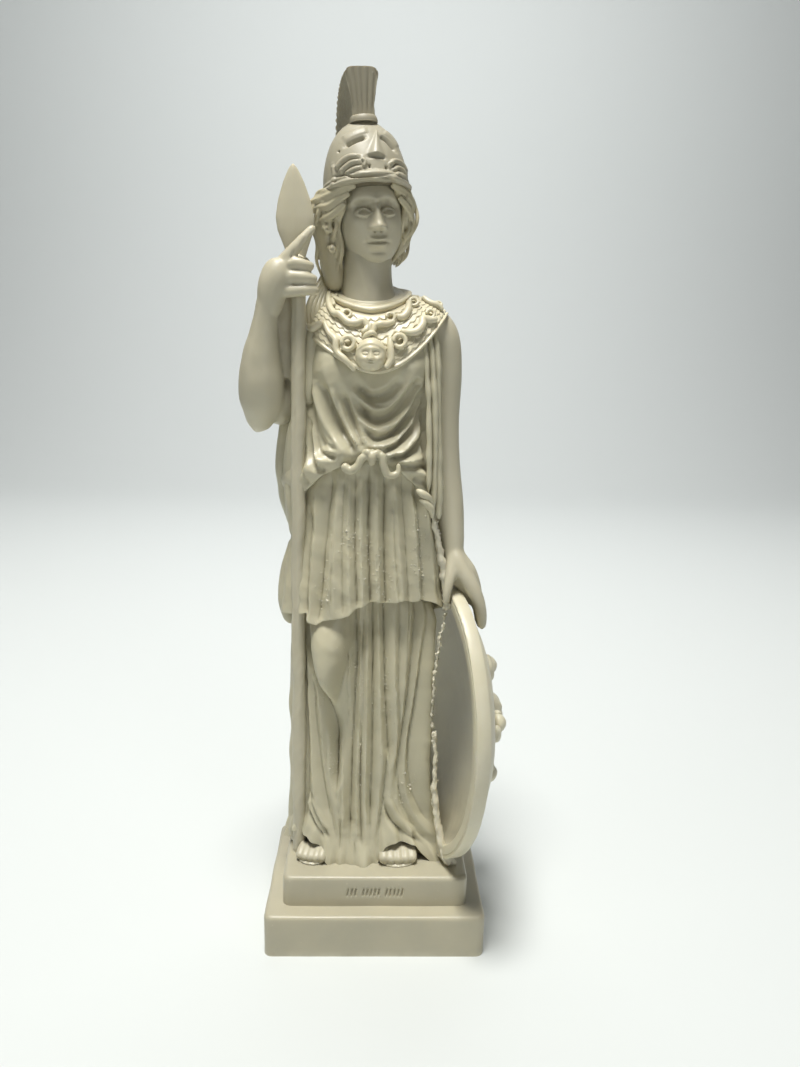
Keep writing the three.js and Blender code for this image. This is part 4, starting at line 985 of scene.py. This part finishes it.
crest = block((32, 134, 36))
x, y, z = points_of(crest).T
out = (z + 1) / 2
sweep = (y + 1) / 2
row = np.clip(sweep * 399, 0, 399).astype(int)
middle = mixed(smooth_path(CREST_FOOT, 400)[row], smooth_path(CREST_EDGE, 400)[row], out[:, None])
half = np.interp(out, CREST_SHARE, CREST_HALF) * (1 - 0.14 * smooth(out, 0.88, 1.0) * np.abs(x) ** 3)
strand = 0.6 * combed(sweep * CREST_STRANDS + out * 2.2)
strand += 0.2 * combed(sweep * CREST_STRANDS * 1.7 + out * 1.4)
flutes = 0.35 * combed(x * CREST_FLUTES / 2) ** 3 * smooth(out, 0.05, 0.35) * (y < -0.999)
shoulder = 0.8 * smooth(out, 0.9, 1.0) * np.abs(x) ** 4
set_points(crest, in_head(x * half - np.sign(x) * strand * (np.abs(x) > 0.999) - 0.5,
                          middle[:, 0] + flutes, middle[:, 1] - shoulder + 0.3 * out))
set_points(crest, softened(crest, 1))


def crest_band_place(angle, t):
    swell = 0.15 * np.sin(math.pi * t) - 0.45 * t
    return in_head(np.sin(angle) * (3.95 + swell) - 0.4, -2.4 - np.cos(angle) * (3.5 + swell),
                   HELMET_TOP - 1.2 + 1.7 * t)


# A darker copy of the same resin: painted shade for the crest, whose front stands in shade under the
# lamp above.
crest_resin_painted_shade = resin("crest_resin_painted_shade", (0.31, 0.285, 0.21), (0.335, 0.306, 0.222),
                    (0.13, 0.11, 0.065), (0.62, 0.57, 0.43), rough=0.5)
cast("crest", together([crest, tube(64, 14, crest_band_place)]), crest_resin_painted_shade, reach=7)

# Collar. The goat-skin collar lies over the breast and shoulders, cut all over in small scales,
# with a rolled neckline and a thin raised border.
SCALE_HIGH = 1.75
SCALE_WIDE = 2.3
SCALE_DEEP = 0.5


def collar_place(angle, t):
    angle = angle - 0.2 * np.sin(angle)
    height, under = hemmed(t, 0.04)
    height = height * 1.02
    rows = height * 19 / SCALE_HIGH
    row = np.floor(rows)
    wide = mixed(20, 10, np.clip(height, 0, 1)) * angle / SCALE_WIDE + 0.5 * (row % 2)
    a = 2 * (wide - np.floor(wide)) - 1
    edge = rows - row - 0.42 * a * a
    scale = np.where(edge > 0, (1 - 0.7 * edge) * (1 - 0.35 * a * a), 0.2)
    field = smooth(height, 0.06, 0.1) * (1 - smooth(height, 0.8, 0.84))
    neck_roll = 1.05 * roll(np.clip(np.abs(height - 0.92) / 0.055, 0, 1))
    dished = 0.3 * smooth(height, 0.8, 0.86) * (1 - smooth(height, 0.86, 0.9))
    proud = SCALE_DEEP * scale * field + neck_roll - dished - 1.7 * under ** 1.5
    proud += 0.45 * bell(height, 0.03, 0.03)
    s = np.sin(angle)
    c = np.cos(angle)
    border = np.stack([-2.7 + 20.4 * s, -np.where(c > 0, 15.2, 14.6) * c,
                       153.4 + (14 + 3 * s) * np.abs(s) ** 1.8], 1)
    neckline = np.stack([-4.6 + 9.8 * s, -np.where(c > 0, 8.8, 9.2) * c, 173 + 3.5 * (1 - c)], 1)
    swell = 1.7 * np.sin(math.pi * np.minimum(1, 0.15 + 0.85 * height)) + proud
    made = mixed(border, neckline, height[:, None])
    made += np.stack([s * swell * 0.8, -c * swell * 0.9, swell * 0.8 * np.abs(s)], 1)
    return made + np.outer(0.14 * wobble(made, 6, 61), (0, -1, 0))


collar_resin = resin("collar_resin", (0.61, 0.56, 0.40), (0.65, 0.595, 0.415),
                     (0.27, 0.22, 0.115), (0.80, 0.755, 0.59), crumbs_and_glints=0.3)
collar = tube(350, 98, collar_place)
collar_tree = BVHTree.FromPolygons(
    [v.co for v in collar.vertices], [p.vertices for p in collar.polygons])
cast("collar", collar, collar_resin, reach=6, depth=0.42)

# Snakes. Live snakes writhe out of the collar: thick loops, and open rings that stand clear of the
# scales like bent pipe, laid on the collar's surface along their paths.
SNAKES = table("""
1.05, -16.2 176.6, -16.4 172.6, -14.8 170.2, -13 169.3, -10.6 167.3, -8.3 167, -6.4 167.7,
-5.4 166.6, -5.6 165, -6.8 164.3; 1, -3.7 164.4, -2.9 166.2, -1.4 166.9, 0.6 167.3, 2.6 168.2;
1.1, 2.9 169.2, 4.8 169.4, 6.4 171, 6.7 173.6;
1.15, 4 165.1, 6.1 164.7, 8.6 165.1, 10.2 166.8, 10.6 168.6, 12.6 168.4, 14.4 169.2;
0.95, -17.4 167.4, -15.7 164.4, -13.9 162.3, -13.2 159.6, -11 156.8, -8 154.6;
1, -22 166.3, -20.8 165.4, -19.1 166.2, -17.6 167.4;
1, 1.2 163.6, 1.4 160.6, 1.5 157.2, 0.2 154.8; 0.7, -4.4 163.6, -4.6 165.6, -4.2 167.2;
0.7, -14.4 175.4, -15.4 173.6, -14.6 172; 0.9, 16.4 171.6, 14.9 172.9, 12.6 173.6, 10.6 175.2""")
RINGS = table("""
-10.4 161.5 1.7 0.66, 3.9 162.4 1.7 0.66, 1.3 168.9 1.15 0.5, 8 173.5 1.2 0.52,
12.7 170.3 1.15 0.5, -11 169.6 1.1 0.46, 15.2 173.2 0.9 0.42""")[0]


def on_collar(x, z):
    """Where a line from the front meets the collar at (x, z), and the way it faces there."""
    hit, way, _, _ = collar_tree.ray_cast(Vector((x, -90, z)), Vector((0, 1, 0)))
    if hit is None:
        return np.array((x, -6.0, z)), np.array((0.0, -1.0, 0.0))
    return np.array(hit), np.array(way)


def ring(x, z, radius, wire):
    middle, way = on_collar(x, z)
    way = unit(mixed(way, np.array((0, -1, 0)), 0.4))
    first = unit(np.cross(way, (0, 0, 1)))
    second = np.cross(way, first)
    lead = [middle + way * (wire * (0.9 + 0.07 * i)) + radius * (
        math.cos(a) * first + math.sin(a) * second)
        for i, a in enumerate(np.linspace(0, 2.06 * math.pi, 15))]
    return limb(lead, [wire] * 4, around=14, along=64, ends=0.03)


snakes = []
for (wire,), *path in SNAKES:
    spots = [on_collar(*spot) for spot in path]
    snakes.append(limb([spot + way * wire * 0.55 for spot, way in spots],
                       [wire * 0.7, wire, wire, wire * 0.75], around=14, along=80, ends=0.05))
rings = [ring(*numbers) for numbers in RINGS]
cast("snakes", together([*snakes, *rings]), collar_resin, reach=5, depth=0.3)

# Mask. A small round plain face with puffed cheeks and a smooth cap of hair sits at the point of
# the collar between two rings, with a curl above its brow.
MASK_PLACE = np.array((-4.0, -15.0, 158.6))
MASK_HALF = 4.35
MASK_HIGH = 4.75
MASK_DEEP = 3.3
MASK_SPOTS = table("""
-0.75 1.5 1.15 0.6 0.9, 0.35 0.6 0.32 -1 0.35, 0.65 0 1 -2.1 0.55, -0.55 0 1 -2.1 0.16,
0.65 2.1 1.2 -1.3 1.2, 0.55 0 1 -3.4 0.8""")[0]


def mask_place(angle, t):
    """A simple round face: closed lids, a button nose, a small mouth and full cheeks."""
    aside, rise, front = ball(angle - 0.4 * np.sin(angle), t)
    x = aside * MASK_HALF
    z = rise * MASK_HIGH
    side = np.abs(x)
    eyes = 0.5 * roll(np.clip(np.hypot((side - 1.55) / 0.85, (z - 0.45) / 0.5), 0, 1))
    brow = 0.25 * bell(z, 1.8 - 0.1 * side ** 2, 0.6) * (1 - smooth(side, 2, 3))
    nose = np.clip((1.6 - z) / 2.6, 0, 1) * bell(x, 0, 0.62) * smooth(z, -1.4, -1.0)
    cap = smooth(z + 0.12 * x ** 2, 2.5, 3.3)
    relief = (eyes + brow + nose + swellings(side, z, MASK_SPOTS)) * smooth(front, 0.1, 0.5)
    y = -front * MASK_DEEP - relief * (1 - cap) - 0.28 * cap
    return np.stack([x, y, z], 1) + MASK_PLACE


brow_curl = limb(MASK_PLACE + table("-2.4 0.6 4.2, -1.2 0.2 5.4, 0.4 0 6, 1.6 0.4 4.8")[0],
                 [0.5, 0.8, 0.8, 0.4], around=12, along=40)
cast("mask", together([tube(116, 84, mask_place), brow_curl]), collar_resin,
     reach=6, depth=0.3, crease=65)

# Belt. Two snakes are knotted over the gathered cloth, the loose ends curling down and out. They
# and their knot are cast as one, in the resin of the dress.
BELT_VOXEL = 0.2
BELT_ENDS = table("""
1.2 -4.2 -15.6 130.6, 1.15 -6.2 -16 129.6, 1.2 -7.3 -15.9 127.4, 1.25 -9.4 -15.6 126.2,
1.35 -11.8 -14.9 127.6;
1.1 -2.2 -15.6 130.6, 1.15 -0.3 -16.2 130.4, 1.15 0.2 -16.2 127.6, 1.1 1.6 -15.8 125,
0.9 4.2 -15.2 125.6, 0.7 4.4 -14.8 128.4;
0.7 -6 -14.8 131, 1.1 -4.4 -16.2 131.4, 0.8 -2.8 -16 129.4;
0.7 -0.4 -14.8 131.2, 1.1 -2 -16.2 131.2, 0.8 -3.6 -16.4 129;
0.9 -3.2 -15 132, 1.3 -3.2 -16.6 130.2, 0.8 -3.2 -15.6 127.8""")
belt = fused(limbs(BELT_ENDS, around=16, along=60), BELT_VOXEL, 2)
cast("belt", belt, cloth_resin, reach=6, depth=0.35)

# Spear. A plain shaft runs from the plinth through the closed hand to a leaf-shaped blade with a
# faint midrib. The seam of the mould still shows on the shaft.
SHAFT_X = -24.8
SHAFT_RADIUS = 2.1
SHAFT_LINE = [(SHAFT_X, -5.6, -1), (SHAFT_X, -7.8, 60), (SHAFT_X, -9, 120), (SHAFT_X, -9, 186)]
BLADE_LOW = 183
BLADE_LENGTH = 26.6
BLADE_HALF = 5.4
BLADE_THICK = 1.7
LEAF_SHARE = [0, 0.16, 0.34, 0.47, 0.64, 0.82, 0.95, 1]
LEAF_HALF = [0.34, 0.6, 0.93, 1, 0.84, 0.54, 0.24, 0.03]


def blade_place(angle, t):
    leaf = np.interp(t, LEAF_SHARE, LEAF_HALF)
    rib = 0.35 * bell(np.sin(angle), 0, 0.2)
    x = np.sin(angle) * BLADE_HALF * leaf
    y = -np.sign(np.cos(angle)) * (np.abs(np.cos(angle)) ** 1.3 * BLADE_THICK + rib) * leaf ** 0.6
    return np.stack([-25.2 - 1.1 * t + x, -8.4 + y, BLADE_LOW + t * BLADE_LENGTH], 1)


shaft = limb(SHAFT_LINE, [SHAFT_RADIUS] * 4, around=32, along=170, ends=0.004)
co = points_of(shaft)
seam = 0.25 * bell(co[:, 0], SHAFT_X - 1.1, 0.5) * smooth(-co[:, 1], 9.4, 10)
pushed(shaft, seam + 0.22 * wobble(co * (1, 1, 0.4), 6, 71) + 0.08 * wobble(co, 2.4, 72))
blade = tube(80, 50, blade_place)
set_points(blade, softened(blade, 2))
cast("spear", together([shaft, blade]), skin_resin)

# Right arm. Raised with the elbow out, the hand closed on the spear and the first finger laid up
# along the blade. A thin web of flash was left between the forearm and the shaft.
ARM_VOXEL = 0.42
RIGHT_ARM = table("""
6.4 -13 2.5 164, 6.6 -21 2.5 155, 6.4 -28.5 0 146.5, 5.2 -35 -3 140;
1.8 -37.9 -3.4 135.6, 4 -36.8 -4.2 138.8, 6.3 -35.7 -5.6 144, 6.6 -35.6 -7.2 150,
5.5 -35.4 -8.8 157, 4.1 -34.4 -10.4 164, 3.3 -33.4 -11.6 170, 3.6 -32.6 -12 176;
2.9 -32.9 -11.4 168, 4.1 -31.8 -12.2 175, 4.2 -30.3 -12.4 180, 2.6 -29 -12.2 184;
3 -29.4 -11 176, 4 -28 -11.5 179, 3 -27.4 -11.5 182;
2.3 -29.5 -12 181.5, 1.9 -27 -13 184.8, 1.5 -23.4 -13 189, 1.1 -19.9 -12.2 193;
1.9 -28.5 -13 182.4, 1.65 -25.3 -13.8 182.8, 1.5 -22.6 -13.6 182.4, 1.3 -20.4 -11.8 182;
1.9 -28.5 -13.4 179, 1.6 -24.8 -14.2 179.2, 1.45 -21.8 -13.8 179, 1.3 -19.4 -11.8 178.7;
1.9 -28.5 -13.2 175.2, 1.6 -24.6 -13.9 175.5, 1.5 -21.4 -13.4 175.8, 1.3 -19 -11.6 175.8;
2.2 -28.6 -8.5 180, 1.9 -25.6 -6.2 182.6, 1.5 -21.8 -6.4 184.4""")
FINGER_LINES = table("""
0.5 0.3, -27 183, -26 184.6, -25.2 186.4; 0.5 0.25, -23.6 187.4, -23 188.4, -22.4 189.6""")
flash = block((12, 3, 40))
co = points_of(flash)
slant = 1 - 0.45 * smooth(-co[:, 2], 0.2, 1) * (0.5 - 0.5 * co[:, 0])
co = co * (3.8, 0.5, 13) * slant[:, None] + (-28.8, -7.4, 162)
set_points(flash, co + np.outer(0.3 * wobble(co, 4, 81), (0, 1, 0)))
arm = fused([*limbs(RIGHT_ARM, around=40, along=60, ends=0.12), flash], ARM_VOXEL, 4)
co = points_of(arm)
lines = carved(co[:, 0], co[:, 2], FINGER_LINES) * smooth(-co[:, 1], 12, 13)
pushed(arm, 0.06 * wobble(co, 5, 82) - lines)
cast("right_arm", arm, skin_resin, depth=0.55)

# Left arm. It hangs at the side and the hand rests over the top of the shield, four fingers
# outside and the thumb inside.
LEFT_ARM = table("""
5.4 11.5 1.4 170, 5.7 16.4 1.8 164.5, 5.2 18.2 2 154, 4.6 18.5 2.2 140, 4.8 19 1.6 127,
4.9 20.3 -0.6 114, 3.9 21.6 -3 105, 3.2 22.3 -4.4 99, 3.6 23.6 -5.2 94.5, 3.4 25.8 -5.4 90.5;
2.2 22 -3.6 104, 3.4 22.9 -4.4 98.6, 4.2 25.4 -5 93.6, 3.4 28 -5 88.5, 2.2 29.6 -5 84;
1.6 22 -4.6 102, 2.2 22 -6.4 98.5, 1.9 21.3 -8.8 94.5, 1.5 20.4 -10.2 91, 1.3 20 -10.6 88,
1.1 20 -10.4 85.5""")
LEFT_FINGER = table("""
22.2 -4.4 102.4, 22.9 -6.4 98.5, 25.2 -8.2 94.4, 27.8 -9.2 90.4, 29.8 -9.6 86, 31 -9.6 81.6,
31.4 -9.2 77""")[0]
left_arm = limbs(LEFT_ARM, around=44, along=90, ends=0.05)
for slide, drop in ((0, 0), (3.2, 0.6), (6.2, 0.4), (9.0, -1.0)):
    left_arm.append(limb(np.array(LEFT_FINGER) + (-0.03 * slide, slide, -drop),
                         [1.7, 2.6, 2.5, 2.35, 2.1, 1.7, 1.3], around=24, along=60, ends=0.08))
cast("left_arm", fused(left_arm, ARM_VOXEL, 6), skin_resin, depth=0.55)

# Shield. A round dish stood on edge beside the leg, turned a little outwards, with a broad flat
# rim. Its profile is spun once round its axis.
SHIELD_RADIUS = 45.5
SHIELD_DEPTH = 77
SHIELD_FLATTEN = SHIELD_DEPTH / (2 * SHIELD_RADIUS)
SHIELD_RIM = 4.4
SHIELD_DOME = 10.5
SHIELD_WALL = 4
SHIELD_TURN = math.radians(15)
SHIELD_LEAN = math.radians(1.2)
SHIELD_PLACE = np.array((17.8, 0.4, 44.3))
BOWL = SHIELD_RADIUS - 5
RIM_PROFILE = table("""
0.5 0.8, 0.8 0.1, 1.1 0, 3.6 0, 3.8 0.25, 4 0.05, 4.7 0.1, 5 0.5, 5 3.8, 4.7 4.3, 4 4.4, 3.8 4.1,
3.6 4.4, 1.6 4.3, 0.6 4.4""")[0]
BOSS_RADIUS = 8.5
BOSS_HEIGHT = 9.2
RELIEF_RING = 22
RELIEF_COUNT = 7
RELIEF_START = math.radians(27)


def on_shield(r, a, h):
    """Radius r at angle a round the dish, h outwards from the plane of its inner rim."""
    x, z = swung(h, r * np.cos(a), -SHIELD_LEAN)
    return np.stack([*swung(x, -r * np.sin(a) * SHIELD_FLATTEN, SHIELD_TURN), z], -1) + SHIELD_PLACE


def dome(share):
    return SHIELD_DOME * math.sqrt(max(0, 1 - share ** 2.2)) + SHIELD_RIM


profile = [(BOWL * s, max(0.7, dome(s) - SHIELD_WALL)) for s in np.linspace(0, 0.97, 26)]
profile += [(BOWL + out, high) for out, high in RIM_PROFILE]
profile += [(BOWL * s, dome(s) - 0.6) for s in np.linspace(0.985, 0, 28)]
bm = bmesh.new()
corners = [bm.verts.new((r, 0, h)) for r, h in profile]
hoops = [bm.edges.new(pair) for pair in zip(corners[:-1], corners[1:])]
bmesh.ops.spin(bm, geom=corners + hoops, cent=(0, 0, 0), axis=(0, 0, 1),
               angle=2 * math.pi, steps=220, use_merge=True)
bmesh.ops.remove_doubles(bm, verts=bm.verts, dist=1e-3)
dish = mesh_from(bm)
co = points_of(dish)
h = co[:, 2] + 0.1 * wobble(co, 14, 91) + 0.03 * wobble(co, 4, 92)
set_points(dish, on_shield(np.hypot(co[:, 0], co[:, 1]), np.arctan2(co[:, 0], co[:, 1]), h))


def boss_place(angle, t):
    rise = np.sin(t * math.pi / 2)
    petals = 0.5 * np.abs(np.cos(angle * 4)) * np.sin(math.pi * t)
    return on_shield(BOSS_RADIUS * np.cos(t * math.pi / 2) ** 0.75, angle,
                     dome(0) - 1.6 + (BOSS_HEIGHT + 1.2) * rise + petals)


ornaments = [tube(96, 36, boss_place)]
for i in range(RELIEF_COUNT):
    start = RELIEF_START + i / RELIEF_COUNT * 2 * math.pi
    lead = []
    for share in np.linspace(0, 1, 9):
        reach = 5.0 * (1 - 0.5 * share)
        r = RELIEF_RING + reach * math.cos(share * 5.2)
        a = start + reach * math.sin(share * 5.2) / RELIEF_RING
        lead.append(on_shield(r, a, dome(r / BOWL) + 0.2 + 1.4 * share))
    ornaments.append(limb(lead, [1.5, 1.5, 1.3, 1.1], around=14, along=60, ends=0.06))
    knob = [on_shield(RELIEF_RING, start, dome(RELIEF_RING / BOWL) + h) for h in (-0.6, 1.8, 4.2)]
    ornaments.append(limb(knob, [3.4, 3.0, 1.8], around=24, along=20, ends=0.4))
# A paler copy of the same resin: painted light that lifts the bowl out of the figure's shade.
shield_resin_painted_light = resin("shield_resin_painted_light", (0.60, 0.56, 0.42), (0.64, 0.60, 0.44),
                     (0.20, 0.18, 0.12), (0.68, 0.645, 0.51))
cast("shield", together([dish, *ornaments]), shield_resin_painted_light, reach=8)

# Glue bead, crumbs and bubbles. A crumbly glossy bead runs where the dress meets the shield and up
# under the wrist, and tiny trapped air bubbles stand as beads in the folds.
BEAD_VOXEL = 0.31
BEAD = table("""
20.2 82.7, 18.5 75.6, 18.2 72, 17.3 63.9, 17 55.7, 16.8 48.3, 17.4 41.3, 18.4 33.5, 18.2 25.9,
18 19.2, 19.1 14.3, 22.6 1""")[0]
CRUMB_STRIP = table("""
12.8 118.6, 14.1 114.4, 16 109.4, 17 104.2, 18 99.1, 19 93.8, 19.6 88.6, 20.2 83.2""")[0]
BUBBLE_SPOTS = table("""
-9.6 105 3, -3.6 98 3, 1.4 93 3.5, 10.8 106 3, 11.6 97 3, -17 90 3, -18.5 58 3, -14 34 3,
-7.4 62 4, 2.2 56 4, -4.6 36 5, 8.6 24 4, 12.4 126 3, -20 128 3, 0 138 5""")[0]
BEAD_RUNS = table("""
0.3 18 -10.4 46, 0.7 18.2 -10.8 34, 0.9 18.4 -11.4 24, 1.1 19.4 -12.4 14, 1.4 21.4 -13.8 6,
1.3 23.4 -14.8 0.2;
0.4 12.8 -9.6 119, 0.6 15.6 -8.8 110, 1.2 18.2 -7.8 99, 1.2 20 -8.4 90, 0.7 20.4 -9.6 83;
0.8 21.6 -12.2 7, 1.2 23.2 -13.4 3, 0.9 25.4 -13.4 0.2""")


def pebbles(spots, sizes):
    """Small round blobs at spots."""
    bm = bmesh.new()
    for spot, size in zip(spots, sizes):
        made = bmesh.ops.create_icosphere(bm, subdivisions=1, radius=size)
        bmesh.ops.translate(bm, vec=tuple(spot), verts=made["verts"])
    return mesh_from(bm)


bodies = []
for form in (skirt, overfold):
    flat_points = points_of(form) / MM - (0, 0, PLINTH_TOP)
    bodies.append(BVHTree.FromPolygons([Vector(p) for p in flat_points],
                                       [p.vertices for p in form.polygons]))


def on_cloth(x, z):
    """The nearest spot of the cloth in front at (x, z), or None."""
    hits = [body.ray_cast(Vector((x, -90, z)), Vector((0, 1, 0)))[0] for body in bodies]
    return min((hit for hit in hits if hit is not None), key=lambda hit: hit.y, default=None)


draw = np.random.default_rng(17)
bead_spots = []
bead_sizes = []
for line, count, spread, front in ((BEAD, 380, 0.5, -10.6), (CRUMB_STRIP, 330, 1.1, -8.8)):
    for x, z in smooth_path(line, count):
        here = on_cloth(x, z)
        y = here.y if here else front
        spot = np.array((x, min(max(y, front - 2.5), front + 3), z))
        bead_spots.append(spot + draw.normal(size=3) * spread * 0.6)
        bead_sizes.append(draw.uniform(0.22, 0.55))
runs = []
for run in limbs(BEAD_RUNS, around=24, along=110, ends=0.06):
    co = points_of(run)
    runs.append(pushed(run, 0.35 * wobble(co, 4.4, 93) + 0.22 * wobble(co, 1.0, 94)))
bubble_spots = []
bubble_sizes = []
for x, z, reach in BUBBLE_SPOTS:
    for _ in range(56):
        here = on_cloth(x + draw.normal() * reach * 0.5, z + draw.normal() * reach * 1.3)
        if here:
            bubble_spots.append(here)
            bubble_sizes.append(draw.uniform(0.1, 0.24) * (1 + (draw.uniform() > 0.95)))
bead_resin = resin("bead_resin", (0.62, 0.58, 0.45), (0.66, 0.62, 0.48),
                   (0.26, 0.235, 0.16), (0.80, 0.77, 0.64), rough=0.24, crumbs_and_glints=0.6)
bead = fused([*runs, pebbles(bead_spots, bead_sizes)], BEAD_VOXEL, 1)
cast("glue_bead", bead, bead_resin, reach=4, depth=0.3)
cast("bubbles", pebbles(bubble_spots, bubble_sizes), bead_resin, reach=1, depth=0.3)

# Floor and light. A pale sweep stands for the table and the wall, lit by one broad soft lamp
# high above, weak ones in front and on the left, and one that only lights the wall.
FLOOR_HALF = 1.6
SWEEP_START = 0.9
SWEEP_RADIUS = 0.6
WALL_HEIGHT = 1.8
SWEEP_STEPS = 12
bm = bmesh.new()
sweep_line = [(-FLOOR_HALF, 0.0), (SWEEP_START, 0.0)]
for i in range(1, SWEEP_STEPS + 1):
    a = i / SWEEP_STEPS * math.pi / 2
    sweep_line.append((SWEEP_START + SWEEP_RADIUS * math.sin(a), SWEEP_RADIUS * (1 - math.cos(a))))
sweep_line.append((SWEEP_START + SWEEP_RADIUS, WALL_HEIGHT))
line = [bm.verts.new((-FLOOR_HALF, y, z)) for y, z in sweep_line]
edges = [bm.edges.new(pair) for pair in zip(line[:-1], line[1:])]
grown = bmesh.ops.extrude_edge_only(bm, edges=edges)
moved = [item for item in grown["geom"] if isinstance(item, bmesh.types.BMVert)]
bmesh.ops.translate(bm, vec=(2 * FLOOR_HALF, 0, 0), verts=moved)
bmesh.ops.recalc_face_normals(bm, faces=bm.faces)
sweep_mesh = mesh_from(bm)
sweep_mesh.shade_smooth()
paper = bpy.data.materials.new("paper")
paper.use_nodes = True
sockets = paper.node_tree.nodes["Principled BSDF"].inputs
sockets["Base Color"].default_value = (0.70, 0.73, 0.72, 1)
sockets["Roughness"].default_value = 0.8
sweep_mesh.materials.append(paper)
floor = bpy.data.objects.new("floor", sweep_mesh)
bpy.context.scene.collection.objects.link(floor)


def lamp(name, place, aim, size, power, colour):
    data = bpy.data.lights.new(name, "AREA")
    data.shape = "DISK"
    data.size = size
    data.energy = power
    data.color = colour
    light = bpy.data.objects.new(name, data)
    light.location = place
    light.rotation_euler = (Vector(aim) - Vector(place)).to_track_quat("-Z", "Y").to_euler()
    bpy.context.scene.collection.objects.link(light)


lamp("lamp_above", (-0.08, -0.185, 0.95), (0, 0, 0.12), 0.28, 10.4, (1.0, 0.99, 0.955))
lamp("lamp_front", (0.5, -0.86, 0.36), (0, 0, 0.13), 0.4, 1.05, (0.98, 0.99, 1.0))
lamp("lamp_left", (-0.9, -0.55, 0.30), (0.02, 0, 0.07), 0.6, 0.7, (0.99, 1.0, 0.99))
lamp("lamp_wall", (0, 0.45, 1.1), (0, 1.45, 0.5), 0.9, 10.8, (1.0, 1.0, 1.0))
world = bpy.data.worlds.new("room")
world.use_nodes = True
sockets = world.node_tree.nodes["Background"].inputs
sockets["Color"].default_value = (0.80, 0.84, 0.86, 1)
sockets["Strength"].default_value = 0.06
bpy.context.scene.world = world
bpy.context.scene.view_settings.view_transform = "Standard"
